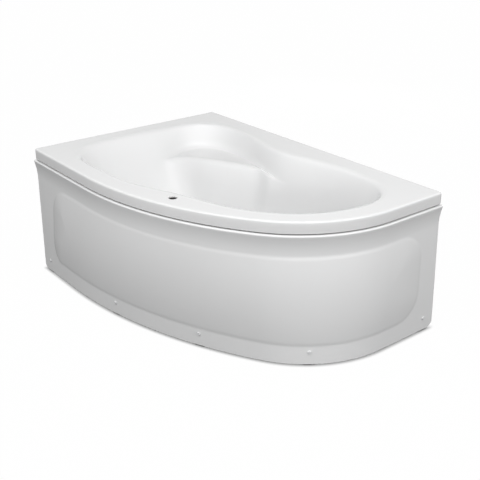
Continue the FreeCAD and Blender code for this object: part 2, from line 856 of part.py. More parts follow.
def panel_clips():
    """Spring clips: one arm under the front batten, the other under the panel's top flange."""
    low = panel_top - panel_wall - seat_clearance - clip_wall
    riser = flange_depth + 2 * clip_wall
    points = [
        Vector(-(flange_depth - clip_grip), 0, low),
        Vector(-(riser + clip_wall), 0, low),
        Vector(-(riser + clip_wall), 0, batten_bottom - clip_wall),
        Vector(-(riser + clip_arm), 0, batten_bottom - clip_wall),
        Vector(-(riser + clip_arm), 0, batten_bottom),
        Vector(-riser, 0, batten_bottom),
        Vector(-riser, 0, low + clip_wall),
        Vector(-(flange_depth - clip_grip), 0, low + clip_wall),
    ]
    profile = Part.Face(Part.makePolygon(points + points[:1]))
    clip = profile.extrude(Vector(0, clip_width, 0))
    clip.translate(Vector(0, -clip_width / 2, 0))
    clips = []
    for number in range(1, clip_count + 1):
        edge, normal = rim_plan.at(rim_plan.front_length * number / (clip_count + 1), 0)
        clips.append(placed(clip, edge, normal, Vector(0, 0, 1)))
    return clips


# ---- board, battens and frame --------------------------------------------------------------------

def base_board():
    points = []
    for step in range(LIP_STATIONS):
        angle = 2 * math.pi * step / LIP_STATIONS
        reach = floor_radius(angle, board_margin)
        arm = Vector(math.cos(angle), math.sin(angle), 0) * reach
        points.append(raised(floor_centre, board_bottom) + arm)
    edge = Part.BSplineCurve()
    edge.interpolate(Points=points, PeriodicFlag=True)
    board = prism(Part.Wire(edge.toShape()), board_thickness)
    hole = cylinder(board_hole_radius, board_bottom - MARGIN, floor_underside + MARGIN, waste_centre)
    return board.cut(hole)


def front_batten():
    start = front_batten_start
    ring_out = prism(rim_plan.wire(start, start, batten_bottom), batten_thickness)
    ring_in = prism(rim_plan.wire(front_batten_finish, -MARGIN, batten_bottom - MARGIN), 3 * MARGIN)
    notch_radius = deck_hole_radius + batten_gap + shell_wall
    notch = cylinder(notch_radius, batten_bottom - MARGIN, deck_underside + MARGIN, deck_hole_centre())
    return largest_solid(ring_out.cut(ring_in).cut(notch))


def wall_battens():
    near = shell_wall + batten_gap
    far = near + batten_width
    end = front_batten_finish + batten_gap
    long_batten = box(Vector(rim_plan.left + near, rim_plan.back - far, batten_bottom),
                      Vector(rim_plan.right - end, rim_plan.back - near, deck_underside))
    short_batten = box(Vector(rim_plan.left + near, rim_plan.front + end, batten_bottom),
                       Vector(rim_plan.left + far, rim_plan.back - far - batten_gap, deck_underside))
    return long_batten, short_batten


def frame_point(along, across, z=0.0):
    """A point given along and across the floor's long axis."""
    return raised(floor_centre + floor_axis * along + floor_side * across, z)


def cross_ends(along):
    """How far a cross rail runs to the front and to the back, from the floor's long axis."""
    reach = bath_length + bath_width
    line = Part.makeLine(frame_point(along, -reach), frame_point(along, reach))
    inside = Part.Face(rim_plan.wire(front_reach, wall_reach, 0)).common(line)
    sides = [(vertex.Point - floor_centre).dot(floor_side) for vertex in inside.Vertexes]
    return min(sides), max(sides)


def square_tube(along_start, along_end, across_start, across_end):
    """A level square tube of the frame, open at the ends of its longer side."""
    low = frame_bottom
    outer = box(Vector(along_start, across_start, low), Vector(along_end, across_end, frame_top))
    runs_along = along_end - along_start > across_end - across_start
    open_x = MARGIN if runs_along else -tube_wall
    open_y = -tube_wall if runs_along else MARGIN
    inner = box(Vector(along_start - open_x, across_start - open_y, low + tube_wall),
                Vector(along_end + open_x, across_end + open_y, frame_top - tube_wall))
    return placed(outer.cut(inner), floor_centre, floor_axis, Vector(0, 0, 1))


def cross_rail(along, across_start, across_end, legs):
    rail = square_tube(along - tube / 2, along + tube / 2, across_start, across_end)
    for across in legs:
        hole = cylinder(stud_radius + seat_clearance, frame_bottom - MARGIN, frame_top + MARGIN,
                        frame_point(along, across))
        rail = rail.cut(hole)
    return rail


def long_rail(across):
    start = left_cross_along + tube / 2
    end = right_cross_along - tube / 2
    return square_tube(start, end, across - tube / 2, across + tube / 2)


def frame_layout():
    """Places of the posts and legs, as (along, across), worked out from the rim's outline."""
    left_front, left_back = cross_ends(left_cross_along)
    right_front, right_back = cross_ends(right_cross_along)
    middle_front = cross_ends(0)[0]
    posts = [
        (left_cross_along, left_front),
        (left_cross_along, left_back),
        (right_cross_along, right_front),
        (right_cross_along, right_back),
        (0.0, middle_front),
    ]
    legs = [(along, across - math.copysign(leg_back, across)) for along, across in posts]
    return posts, legs


def write_frame(posts, legs):
    half = post / 2
    write("left_cross_rail", cross_rail(left_cross_along, posts[0][1] - half, posts[1][1] + half,
                                        [legs[0][1], legs[1][1]]))
    write("right_cross_rail", cross_rail(right_cross_along, posts[2][1] - half, posts[3][1] + half,
                                         [legs[2][1], legs[3][1]]))
    write("middle_cross_rail", cross_rail(0, -rail_offset + tube / 2, rail_offset - tube / 2, []))
    write("middle_outrigger", cross_rail(0, posts[4][1] - half, -rail_offset - tube / 2, [legs[4][1]]))
    write("front_rail", long_rail(-rail_offset))
    write("rear_rail", long_rail(rail_offset))
    for number, (along, across) in enumerate(posts, 1):
        write("rim_post_" + str(number), rim_post(along, across))


def rim_post(along, across):
    half = post / 2
    inner_half = half - tube_wall
    outer = box(Vector(along - half, across - half, frame_top),
                Vector(along + half, across + half, batten_bottom))
    inner = box(Vector(along - inner_half, across - inner_half, frame_top - MARGIN),
                Vector(along + inner_half, across + inner_half, batten_bottom + MARGIN))
    return placed(outer.cut(inner), floor_centre, floor_axis, Vector(0, 0, 1))


# ---- levelling legs ------------------------------------------------------------------------------

def leg_stud(centre):
    stud = cylinder(stud_radius, pad_base_height + seat_clearance, frame_top + stud_top, centre)
    return stud.makeChamfer(stud_chamfer, [edge for edge in stud.Edges if edge.isClosed()])


def foot_pad(centre):
    base = cylinder(pad_radius, 0, pad_base_height, centre)
    grip = cylinder(pad_grip_radius, pad_base_height, pad_height, centre)
    socket = cylinder(stud_radius + leg_clearance, pad_base_height, pad_height + MARGIN, centre)
    return base.fuse(grip).cut(socket)


def leg_nuts(centres, low, high):
    nuts = []
    for centre in centres:
        hole = cylinder(stud_radius + leg_clearance, low - MARGIN, high + MARGIN, centre)
        nuts.append(hexagon(nut_radius, low, high, centre).cut(hole))
    return nuts


# ---- wall hangers --------------------------------------------------------------------------------

def wall_hanger(origin, into_wall):
    """Bent steel strip: a plate against the wall, a step inside the skirt and an arm under the batten."""
    top = panel_top
    step = shell_wall + hanger_skirt_gap
    points = [
        (0, top - hanger_drop), (hanger_wall, top - hanger_drop), (hanger_wall, top - hanger_wall),
        (step + hanger_wall, top - hanger_wall), (step + hanger_wall, batten_bottom - hanger_wall),
        (step + hanger_arm, batten_bottom - hanger_wall), (step + hanger_arm, batten_bottom),
        (step, batten_bottom), (step, top), (0, top),
    ]
    outline = [Vector(-depth, 0, height) for depth, height in points]
    strip = Part.Face(Part.makePolygon(outline + outline[:1])).extrude(Vector(0, hanger_width, 0))
    strip.translate(Vector(0, -hanger_width / 2, 0))
    for side in (-1, 1):
        start = Vector(-MARGIN, side * hanger_hole_spacing / 2, top - hanger_hole_drop)
        strip = strip.cut(Part.makeCylinder(hanger_hole_radius, 2 * MARGIN, start, Vector(1, 0, 0)))
    return placed(strip, origin, into_wall, Vector(0, 0, 1))


# ---- waste ---------------------------------------------------------------------------------------

def waste_flange():
    flange_top = floor_top + waste_flange_thickness
    tube_bottom = floor_top - waste_tube_length
    flange = cylinder(waste_flange_radius, floor_top, flange_top, waste_centre)
    rim = [edge for edge in flange.Edges if edge.BoundBox.ZMin > flange_top - NEAR]
    flange = flange.makeFillet(waste_flange_thickness / 2, rim)
    flange = flange.fuse(cylinder(waste_tube_radius, tube_bottom, floor_top, waste_centre))
    flange = flange.cut(cylinder(waste_bore_radius, tube_bottom - MARGIN, flange_top + MARGIN, waste_centre))
    guide = cylinder(spider_hub_radius, spider_low(), spider_low() + spider_height, waste_centre)
    arm = box(Vector(0, -spider_width / 2, 0),
              Vector((waste_bore_radius + waste_tube_radius) / 2, spider_width / 2, spider_height))
    for turn in range(spider_arms):
        angle = 2 * math.pi * turn / spider_arms
        direction = Vector(math.cos(angle), math.sin(angle), 0)
        guide = guide.fuse(placed(arm, raised(waste_centre, spider_low()), direction, Vector(0, 0, 1)))
    hole_radius = stem_radius + stem_clearance
    stem_hole = cylinder(hole_radius, spider_low() - MARGIN, floor_top + MARGIN, waste_centre)
    return flange.fuse(guide).cut(stem_hole)


def spider_low():
    return floor_top - waste_tube_length / 2


def waste_gasket():
    return ring(waste_gasket_radius, waste_tube_radius + seat_clearance,
                floor_underside - waste_gasket_thickness, floor_underside, waste_centre)


def waste_body_bottom():
    return floor_underside - waste_body_depth


def waste_body(port_direction):
    top = floor_underside - waste_gasket_thickness
    bottom = waste_body_bottom()
    neck_bottom = floor_top - waste_tube_length
    body = cylinder(waste_body_flange, top - waste_body_flange_thickness, top, waste_centre)
    body = body.fuse(cylinder(waste_body_radius, bottom, top, waste_centre))
    body = body.fuse(cylinder(waste_spigot_radius, bottom - waste_spigot_length, bottom, waste_centre))
    port = Part.makeCylinder(port_radius(), waste_body_radius + hose_cuff,
                             raised(waste_centre, hose_level()), port_direction)
    body = body.fuse(port)
    bore = Part.makeCylinder(port_radius() - plastic_wall, waste_body_radius + hose_cuff + MARGIN,
                             raised(waste_centre, hose_level()), port_direction)
    body = body.cut(bore)
    body = body.cut(cylinder(waste_tube_radius + seat_clearance, neck_bottom, top + MARGIN, waste_centre))
    chamber_radius = waste_body_radius - plastic_wall
    body = body.cut(cylinder(chamber_radius, bottom + plastic_wall, neck_bottom, waste_centre))
    outlet = cylinder(waste_spigot_radius - plastic_wall, bottom - MARGIN, bottom + MARGIN / 2, waste_centre)
    return body.cut(outlet)


def hose_level():
    return floor_underside - hose_level_drop


def port_radius():
    return hose_bore_radius - seat_clearance


def plug_levels():
    seal_low = floor_top + waste_flange_thickness + seat_clearance
    return seal_low, seal_low + seal_thickness, seal_low + seal_thickness + plug_thickness


def waste_plug():
    seal_low, disc_low, disc_high = plug_levels()
    disc = cylinder(plug_radius, disc_low, disc_high, waste_centre)
    rim = [edge for edge in disc.Edges if edge.BoundBox.ZMin > disc_high - NEAR]
    disc = disc.makeFillet(plug_thickness * plug_edge_share, rim)
    return disc.fuse(cylinder(stem_radius, stem_bottom(), disc_low, waste_centre))


def stem_bottom():
    return hose_level() + cable_radius + seat_clearance


def plug_seal():
    seal_low, disc_low, disc_high = plug_levels()
    return ring(seal_outer_radius, seal_inner_radius, seal_low, disc_low, waste_centre)


def plug_lifter():
    """Collar on the stem; it meets the guide's underside when the plug is fully up."""
    high = spider_low() - plug_lift - seat_clearance
    return ring(lifter_radius, stem_radius + stem_clearance, stem_bottom(), high, waste_centre)


def union_levels():
    top = waste_body_bottom() - seat_clearance
    return top - union_height, top


def trap_body():
    """Closed cup under the waste with a neck for the spigot and a socket for the outlet pipe."""
    top = trap_floor_gap + trap_height
    neck_radius = waste_spigot_radius + seat_clearance
    body = cylinder(trap_radius, trap_floor_gap, top, waste_centre)
    neck_top = union_levels()[1] - plastic_wall
    socket_radius = outlet_spigot_radius + seat_clearance
    cavity_low = trap_floor_gap + plastic_wall
    cavity_high = top - plastic_wall
    body = body.fuse(cylinder(neck_radius + plastic_wall, top, neck_top, waste_centre))
    body = body.fuse(outlet_cylinder(socket_radius + plastic_wall, trap_radius / 2, socket_end()))
    body = body.cut(cylinder(trap_radius - plastic_wall, cavity_low, cavity_high, waste_centre))
    body = body.cut(cylinder(neck_radius, (cavity_low + cavity_high) / 2, neck_top + MARGIN, waste_centre))
    body = body.cut(outlet_cylinder(outlet_spigot_radius - plastic_wall, 0, trap_radius + plastic_wall))
    return body.cut(outlet_cylinder(socket_radius, trap_radius + plastic_wall, socket_end() + MARGIN))


def socket_end():
    return trap_radius + plastic_wall + outlet_socket_depth


def outlet_level():
    return trap_floor_gap + trap_height / 2 + plastic_wall


def outlet_cylinder(radius, start, finish):
    origin = raised(waste_centre, outlet_level()) + floor_side * start
    return Part.makeCylinder(radius, finish - start, origin, floor_side)


def outlet_pipe():
    """Pipe to the wall; its narrower end sits in the trap's socket."""
    start = socket_end() + seat_clearance
    spigot_start = trap_radius + plastic_wall + seat_clearance
    finish = start + outlet_length
    pipe = outlet_cylinder(outlet_radius, start, finish)
    pipe = pipe.fuse(outlet_cylinder(outlet_spigot_radius, spigot_start, start))
    bore = outlet_cylinder(outlet_spigot_radius - plastic_wall, spigot_start - MARGIN, finish + MARGIN)
    return pipe.cut(bore)


def union_nut():
    low, high = union_levels()
    inner = waste_spigot_radius + plastic_wall + 2 * seat_clearance
    nut = ring(union_radius, inner, low, high, waste_centre)
    lugs = []
    for turn in range(union_lugs):
        angle = 2 * math.pi * turn / union_lugs
        centre = waste_centre + Vector(math.cos(angle), math.sin(angle), 0) * union_radius
        lugs.append(cylinder(plastic_wall, low, high, centre))
    return nut.fuse(lugs).cut(cylinder(inner, low - MARGIN, high + MARGIN, waste_centre))


# ---- overflow ------------------------------------------------------------------------------------

class Overflow:
    """Seat of the overflow on the basin's front wall, straight across from the waste."""

    def __init__(self, inner, outer):
        level = raised(waste_centre, rim_top - overflow_drop)
        line = Part.makeLine(level, level - floor_side * bath_width)
        self.origin = farthest(inner.common(line), level)
        wall = max(inner.Faces, key=lambda face: face.Area)
        u, v = wall.Surface.parameter(self.origin)
        self.axis = wall.normalAt(u, v)
        if self.axis.dot(self.origin - level) < 0:
            self.axis = -self.axis
        self.side = Vector(0, 0, 1).cross(self.axis).normalize()
        through = Part.makeLine(self.origin, self.origin + self.axis * MARGIN)
        self.wall = (farthest(outer.common(through), self.origin) - self.origin).Length
        self.body_start = self.wall + seat_clearance + overflow_gasket_thickness
        self.centre = self.origin + self.axis * (self.body_start + overflow_spigot_place)

    def cylinder(self, radius, low, high):
        start = self.origin + self.axis * low
        return Part.makeCylinder(radius, high - low, start, self.axis)


def farthest(shape, point):
    return max((vertex.Point for vertex in shape.Vertexes), key=lambda place: (place - point).Length)


def overflow_rosette(seat, inner):
    """Round cover plate whose back follows the basin's wall."""
    front = -(rosette_stand() + rosette_thickness)
    rosette = seat.cylinder(rosette_radius, front, MARGIN)
    edge = [line for line in rosette.Edges if line.isClosed() and is_at(line, seat, front)]
    rosette = rosette.makeFillet(rosette_thickness * rosette_edge_share, edge)
    wall_side = inner.copy()
    wall_side.translate(seat.axis * -seat_clearance)
    bore = seat.cylinder(rosette_bore_radius, front - MARGIN, 2 * MARGIN)
    return largest_solid(rosette.common(wall_side).cut(bore))


def rosette_stand():
    """The wall is hollow, so the middle of the rosette's flat front stands off by the wall's sag."""
    return rosette_radius ** 2 / (2 * rim_plan.long_radius)


def is_at(edge, seat, distance):
    return abs((edge.CenterOfMass - seat.origin).dot(seat.axis) - distance) < NEAR


def overflow_knob(seat):
    back = -(rosette_stand() + rosette_thickness + seat_clearance)
    front = back - knob_thickness
    knob = seat.cylinder(knob_radius, front, back)
    edge = [line for line in knob.Edges if line.isClosed() and is_at(line, seat, front)]
    knob = knob.makeFillet(knob_edge_radius, edge)
    grip = box(Vector(-knob_grip_length / 2, -knob_grip_width / 2, front - knob_grip_height),
               Vector(knob_grip_length / 2, knob_grip_width / 2, front + knob_thickness / 2))
    upper = [edge for edge in grip.Edges if edge.BoundBox.ZMax < front]
    grip = grip.makeFillet(knob_grip_edge, upper)
    spindle_end = seat.body_start + overflow_body_depth - seat_clearance
    spindle = seat.cylinder(spindle_radius, front + knob_thickness / 2, spindle_end)
    return knob.fuse(placed(grip, seat.origin, seat.side, seat.axis)).fuse(spindle)


def overflow_gasket(seat):
    low = seat.wall + seat_clearance
    high = low + overflow_gasket_thickness
    gasket = seat.cylinder(overflow_body_radius, low, high)
    return gasket.cut(seat.cylinder(overflow_hole_radius, low - MARGIN, high + MARGIN))


def overflow_body(seat):
    """Cup behind the wall with a bearing for the spindle and a spigot that points straight down."""
    low = seat.body_start
    high = low + overflow_body_depth
    radius = overflow_body_radius - overflow_flange_width
    body = seat.cylinder(overflow_body_radius, low, low + plastic_wall)
    body = body.fuse(seat.cylinder(radius, low, high))
    spigot = cylinder(port_radius(), hose_start(seat) - hose_cuff, seat.centre.z, seat.centre)
    body = body.fuse(spigot)
    body = body.cut(cylinder(port_radius() - plastic_wall, hose_start(seat) - hose_cuff - MARGIN,
                             seat.centre.z, seat.centre))
    body = body.cut(seat.cylinder(radius - plastic_wall, low - MARGIN, high - plastic_wall))
    hub = seat.cylinder(spindle_radius + plastic_wall, high - spindle_bearing, high)
    return body.fuse(hub).cut(seat.cylinder(spindle_radius + spindle_clearance, low, high + MARGIN))


def hose_start(seat):
    return seat.centre.z - overflow_body_radius


class HosePath:
    """Centre line of the hose: straight down, a quarter turn, then level to the waste's port."""

    def __init__(self, seat):
        self.top = raised(seat.centre, hose_start(seat))
        run = raised(waste_centre - seat.centre, 0)
        self.direction = Vector(run).normalize()
        self.level = hose_level()
        self.drop = self.top.z - self.level - hose_bend_radius
        self.turn = hose_bend_radius * math.pi / 2
        self.run = run.Length - hose_bend_radius - waste_body_radius - seat_clearance
        self.length = self.drop + self.turn + self.run

    def at(self, distance):
        """Point and direction at a distance from the top."""
        down = Vector(0, 0, -1)
        if distance <= self.drop:
            return self.top + down * distance, down
        bend_end = self.drop + self.turn
        centre = self.top + down * self.drop + self.direction * hose_bend_radius
        if distance <= bend_end:
            angle = (distance - self.drop) / hose_bend_radius
            point = centre - self.direction * (hose_bend_radius * math.cos(angle))
            point = point + down * (hose_bend_radius * math.sin(angle))
            return point, down * math.cos(angle) + self.direction * math.sin(angle)
        point = centre + down * hose_bend_radius + self.direction * (distance - bend_end)
        return point, self.direction

    def wire(self, before, after):
        """The path as lines and an arc, lengthened at both ends."""
        start = self.top + Vector(0, 0, before)
        bend_start = self.at(self.drop)[0]
        bend_middle = self.at(self.drop + self.turn / 2)[0]
        bend_end = self.at(self.drop + self.turn)[0]
        finish = self.at(self.length)[0] + self.direction * after
        return Part.Wire([
            Part.makeLine(start, bend_start),
            Part.Arc(bend_start, bend_middle, bend_end).toShape(),
            Part.makeLine(bend_end, finish),
        ])

    def tube(self, radius, before, after):
        start = self.top + Vector(0, 0, before)
        section = Part.Wire(Part.Circle(start, Vector(0, 0, 1), radius).toShape())
        return self.wire(before, after).makePipeShell([section], True, True)


def overflow_hose(path):
    """Ribbed hose with plain cuffs: each rib is a rise, a crest, a fall and a root."""
    across = Vector(0, 0, 1).cross(path.direction)
    ribbed = path.length - 2 * hose_cuff
    count = int(ribbed / hose_rib_pitch)
    pitch = ribbed / count
    root = hose_radius - hose_rib_depth
    places = [(0.0, hose_radius)]
    for rib in range(count):
        start = hose_cuff + rib * pitch
        places += [
            (start, hose_radius),
            (start + hose_rib_slope, root),
            (start + hose_rib_slope + hose_rib_root, root),
            (start + 2 * hose_rib_slope + hose_rib_root, hose_radius),
        ]
    places += [(path.length - hose_cuff, hose_radius), (path.length, hose_radius)]
    rings = []
    for distance, radius in places:
        point, direction = path.at(distance)
        circle = Part.Circle(point, direction, radius)
        circle.XAxis = across
        rings.append(Part.Wire(circle.toShape()))
    hose = Part.makeLoft(rings, True, True)
    return hose.cut(path.tube(hose_bore_radius, MARGIN / 2, MARGIN / 2))


def hose_nuts(path):
    nuts = []
    for distance in (seat_clearance, path.length - seat_clearance - hose_nut_length):
        point, direction = path.at(distance)
        nut = Part.makeCylinder(hose_nut_radius, hose_nut_length, point, direction)
        hole = Part.makeCylinder(hose_radius + seat_clearance, hose_nut_length + MARGIN,
                                 point - direction * (MARGIN / 2), direction)
        nuts.append(nut.cut(hole))
    return nuts


def control_cable(seat, path):
    before = seat.centre.z - path.top.z - spindle_radius - plastic_wall - 2 * seat_clearance
    after = waste_body_radius - stem_radius
    return path.tube(cable_radius, before, after)


# ---- everything ----------------------------------------------------------------------------------

def write_panel_group():
    axes = panel_screw_axes()
    write("front_panel", front_panel(screw_holes(axes, panel_hole_radius)))
    write("panel_floor_brackets", panel_floor_brackets(axes))
    write("panel_screws", panel_screws(axes))
    write("screw_caps", screw_caps(axes))
    write("panel_clips", panel_clips())


def write_legs(legs):
    centres = [frame_point(along, across) for along, across in legs]
    for number, centre in enumerate(centres, 1):
        write("leg_stud_" + str(number), leg_stud(centre))
        write("foot_pad_" + str(number), foot_pad(centre))
    write("rail_nuts", leg_nuts(centres, frame_top, frame_top + nut_height))
    write("lock_nuts", leg_nuts(centres, frame_bottom - lock_nut_height, frame_bottom))


def write_hangers():
    to_long_wall = Vector(0, 1, 0)
    to_short_wall = Vector(-1, 0, 0)
    write("wall_hanger_long_left", wall_hanger(from_corner(hanger_long_left, 0), to_long_wall))
    hanger_long_right = bath_length - hanger_long_right_gap
    write("wall_hanger_long_right", wall_hanger(from_corner(hanger_long_right, 0), to_long_wall))
    write("wall_hanger_short", wall_hanger(from_corner(0, hanger_short), to_short_wall))


def write_waste(path):
    write("waste_flange", waste_flange())
    write("waste_gasket", waste_gasket())
    write("waste_body", waste_body(-path.direction))
    write("waste_plug", waste_plug())
    write("plug_seal", plug_seal())
    write("plug_lifter", plug_lifter())
    write("trap_body", trap_body())
    write("union_nut", union_nut())
    write("outlet_pipe", outlet_pipe())


def write_overflow(seat, path, inner):
    write("overflow_rosette", overflow_rosette(seat, inner))
    write("overflow_knob", overflow_knob(seat))
    write("overflow_gasket", overflow_gasket(seat))
    write("overflow_body", overflow_body(seat))
    write("overflow_hose", overflow_hose(path))
    write("hose_nuts", hose_nuts(path))
    write("control_cable", control_cable(seat, path))


def main():
    os.makedirs("parts", exist_ok=True)
    inner = basin_solid(inner_profile)
    outer = basin_solid(outer_profile)
    seat = Overflow(inner, outer)
    path = HosePath(seat)
    posts, legs = frame_layout()
    overflow_hole = seat.cylinder(overflow_hole_radius, -MARGIN, MARGIN)
    write("tub_shell", tub_shell(inner, outer, overflow_hole))
    write_panel_group()
    write("base_board", base_board())
    write("front_batten", front_batten())
    long_batten, short_batten = wall_battens()
    write("long_wall_batten", long_batten)
    write("short_wall_batten", short_batten)
    write_frame(posts, legs)
    write_legs(legs)
    write_hangers()
    write_waste(path)
    write_overflow(seat, path, inner)


main()
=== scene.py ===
import json
import math

import bmesh
import bpy
import numpy as np
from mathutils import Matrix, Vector


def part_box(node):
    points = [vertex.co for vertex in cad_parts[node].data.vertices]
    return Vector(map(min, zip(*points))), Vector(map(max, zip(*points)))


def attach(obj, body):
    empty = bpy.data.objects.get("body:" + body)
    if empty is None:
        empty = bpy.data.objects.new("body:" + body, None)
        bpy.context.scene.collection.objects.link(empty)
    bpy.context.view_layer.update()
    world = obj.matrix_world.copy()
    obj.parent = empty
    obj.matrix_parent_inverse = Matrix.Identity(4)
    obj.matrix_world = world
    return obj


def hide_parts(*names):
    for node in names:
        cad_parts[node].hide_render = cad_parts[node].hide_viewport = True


# Looks of an asymmetric corner bath, in metres. The plan is measured from the corner of the two walls.
# Sizes follow the solid's, but for middle_share, field_crown and seam_gap, which serve the picture.

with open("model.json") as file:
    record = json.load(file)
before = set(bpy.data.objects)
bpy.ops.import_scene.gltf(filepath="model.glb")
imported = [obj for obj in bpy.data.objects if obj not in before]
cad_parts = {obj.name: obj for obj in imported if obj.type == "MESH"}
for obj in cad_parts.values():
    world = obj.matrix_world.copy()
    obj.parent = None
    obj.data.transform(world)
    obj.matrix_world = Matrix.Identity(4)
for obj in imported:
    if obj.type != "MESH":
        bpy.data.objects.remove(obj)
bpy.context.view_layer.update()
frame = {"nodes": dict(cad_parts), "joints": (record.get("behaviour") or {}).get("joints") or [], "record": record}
nodes = frame["nodes"]

# Places that the frame gives
shell_low, shell_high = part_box("tub_shell")
panel_low, panel_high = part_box("front_panel")
wall_x = shell_low.x
wall_y = shell_high.y
rim_top = shell_high.z
panel_top = panel_high.z
panel_bottom = panel_low.z
bath_length = shell_high.x - shell_low.x
bath_width = shell_high.y - shell_low.y

# Plan of the rim and of the panel's foot
front_straight = 0.475
end_straight = 0.283
bend_angle = math.radians(35.9)
corner_radius = 0.012
foot_straight = 0.289
foot_end_straight = 0.313
foot_bend_angle = math.radians(31.3)
foot_front_flare = 0.004
foot_end_flare = 0.014

# Tub shell
shell_wall = 0.006
skirt_height = 0.048
rim_edge_radius = 0.008
skirt_edge_radius = 0.0015
rim_side = 0.112
rim_wall = 0.115
rim_front = 0.094
rim_end = 0.103
armrest_width = 0.130
saddle_depth = 0.052
saddle_place = 0.710
saddle_half_length = 0.340
rim_shoulder = 0.100
rim_bend = 0.090
rim_end_bend = 0.101
armrest_left_reach = 0.294
armrest_right_reach = 0.240
lip_start = 0.445
lip_finish_share = 0.85
front_corner_radius = 0.165
seat_corner_radius = 0.170
foot_corner_radius = 0.190
lip_reach = 0.022

# Basin floor and corner seat
floor_top = shell_low.z + shell_wall
floor_place = 0.860
floor_out = 0.510
floor_half_length = 0.450
floor_half_width = 0.215
floor_turn = math.radians(20.0)
floor_fullness = 2.5
floor_reach = 0.062
seat_drop = 0.112
ridge_drop = 0.086
ridge_left = (0.190, 0.435)
ridge_right = (0.760, 0.148)
seat_wall_run = 0.030
ridge_least_reach = 0.060
upper_share = 0.26
middle_share = 0.3            # of the plain wall's run; softens the ends of the ridge
ridge_reach = 0.030
seat_reach = 0.042
seat_start_angle = 106.0
seat_end_angle = 176.0
seat_fade_angle = 16.0

# Holes in the shell
deck_hole_radius = 0.0175
deck_hole_station = 0.929
deck_hole_inset = 0.072
waste_hole_radius = 0.026
waste_along = 0.300
overflow_hole_radius = 0.020
hole_edge_radius = 0.0012

# Front panel
panel_wall = 0.004
flange_proud = 0.008
flange_height = 0.010
flange_depth = 0.030
seam_gap = 0.003              # dark seam between the skirt and the panel
bead_radius = 0.0045
bead_overlap = 0.001
band_depth = 0.085
band_inset = 0.003
panel_return = 0.028
return_start = 0.006
panel_corner_radius = 0.003
panel_inner_radius = 0.001
skirting_radius = 0.032
field_low = 0.078
field_high = 0.450
field_crown = 0.0138
field_step = 0.001            # crease height round the field
field_step_width = 0.014
field_crown_lead = 0.35       # how far the crown sets in ahead of the crease, in crease widths
field_start = 0.150
field_finish = 0.092
field_row_margin = 0.008      # from the field's lower edge to the rows that fan out to the foot
field_corner_radius = 0.115

# Basin surface
LIP_STATIONS = 64
CORNER_STEPS = 4
PROFILE_OVERRUN = 3
ROUNDING_LIMIT = 0.46
SADDLE_STEPS = 3
SPLINE_STEPS = 200
TURN_SAMPLES = 4001

# Mesh resolution
OUTLINE_PITCH = 0.010
SPAN_PITCH = 0.25
RIM_CORNER_STEPS = 9
RIM_EDGE_STEPS = 7
SKIRT_EDGE_STEPS = 4
FLOOR_RINGS = 5
DECK_RINGS = 8
UNDER_DECK_RINGS = 4
UNDER_SKIPPED_RINGS = 4       # of the underside's own, which lie within the deck
UNDER_LEVEL_RINGS = 6         # among which the underside leaves the deck
HOLE_SIDES = 64
HOLE_EDGE_STEPS = 4
PANEL_PITCH = 0.0055
BEAD_STEPS = 6
BAND_ROWS = 14
FOOT_ROWS = 14
FLANGE_ROWS = 3
RETURN_COLUMNS = 4
CORNER_COLUMNS = 4
SHARP_ANGLE = 35.0
PANEL_SHARP_ANGLE = 28.0


# ---- plan ----------------------------------------------------------------------------------------

def outward(angle):
    """Outward direction on the front, which turns from -Y to +X."""
    return np.array([math.sin(angle), -math.cos(angle)])


class Plan:
    """Plan outline: two wall sides, a front straight, two tangent arcs and an end straight."""

    def __init__(self, length, width, straight, end, angle):
        self.left = wall_x
        self.back = wall_y
        self.right = wall_x + length
        self.front = wall_y - width
        self.straight = straight
        self.angle = angle
        run = length - straight
        rise = width - end
        share = math.sin(angle) + math.cos(angle) - 1
        self.long_radius = (run * math.cos(angle) - rise * (1 - math.sin(angle))) / share
        self.short_radius = (rise * math.sin(angle) - run * (1 - math.cos(angle))) / share
        self.long_centre = np.array([self.left + straight, self.front + self.long_radius])
        meet = self.long_centre + outward(angle) * self.long_radius
        self.short_centre = meet - outward(angle) * self.short_radius
        self.stretches = [straight, self.long_radius * angle, self.short_radius * (math.pi / 2 - angle),
                          self.back - self.short_centre[1]]
        self.front_length = sum(self.stretches)

    def at(self, station, inset=0.0):
        """Point and outward normal at a distance along the open side, from the wide end."""
        along_long = station - self.straight
        along_short = along_long - self.stretches[1]
        along_end = along_short - self.stretches[2]
        if along_long <= 0:
            normal = outward(0)
            edge = np.array([self.left + station, self.front])
        elif along_short <= 0:
            normal = outward(along_long / self.long_radius)
            edge = self.long_centre + normal * self.long_radius
        elif along_end <= 0:
            normal = outward(self.angle + along_short / self.short_radius)
            edge = self.short_centre + normal * self.short_radius
        else:
            normal = outward(math.pi / 2)
            edge = np.array([self.right, self.short_centre[1] + along_end])
        return edge - normal * inset, normal


rim_plan = Plan(bath_length, bath_width, front_straight, end_straight, bend_angle)
foot_plan = Plan(bath_length + foot_end_flare, bath_width + foot_front_flare,
                 foot_straight, foot_end_straight, foot_bend_angle)
floor_centre = np.array([wall_x + floor_place, wall_y - floor_out])
floor_axis = np.array([math.cos(floor_turn), math.sin(floor_turn)])
waste_centre = floor_centre + floor_axis * waste_along


def from_corner(place, out):
    return np.array([wall_x + place, wall_y - out])


def evenly(start, finish, pitch):
    return np.linspace(start, finish, max(2, math.ceil(abs(finish - start) / pitch) + 1))


def smooth(value):
    value = np.clip(value, 0.0, 1.0)
    return value * value * (3 - 2 * value)


# ---- basin surface, the solid's one but for softer ends of the ridge -----------------------------

def corner_arc(x, y, radius, start, finish):
    middle = math.radians((start + finish) / 2)
    centre = np.array([x, y]) - np.sign([math.cos(middle), math.sin(middle)]) * radius
    angles = np.radians(np.linspace(start, finish, CORNER_STEPS))
    return [centre + radius * np.array([math.cos(angle), math.sin(angle)]) for angle in angles]


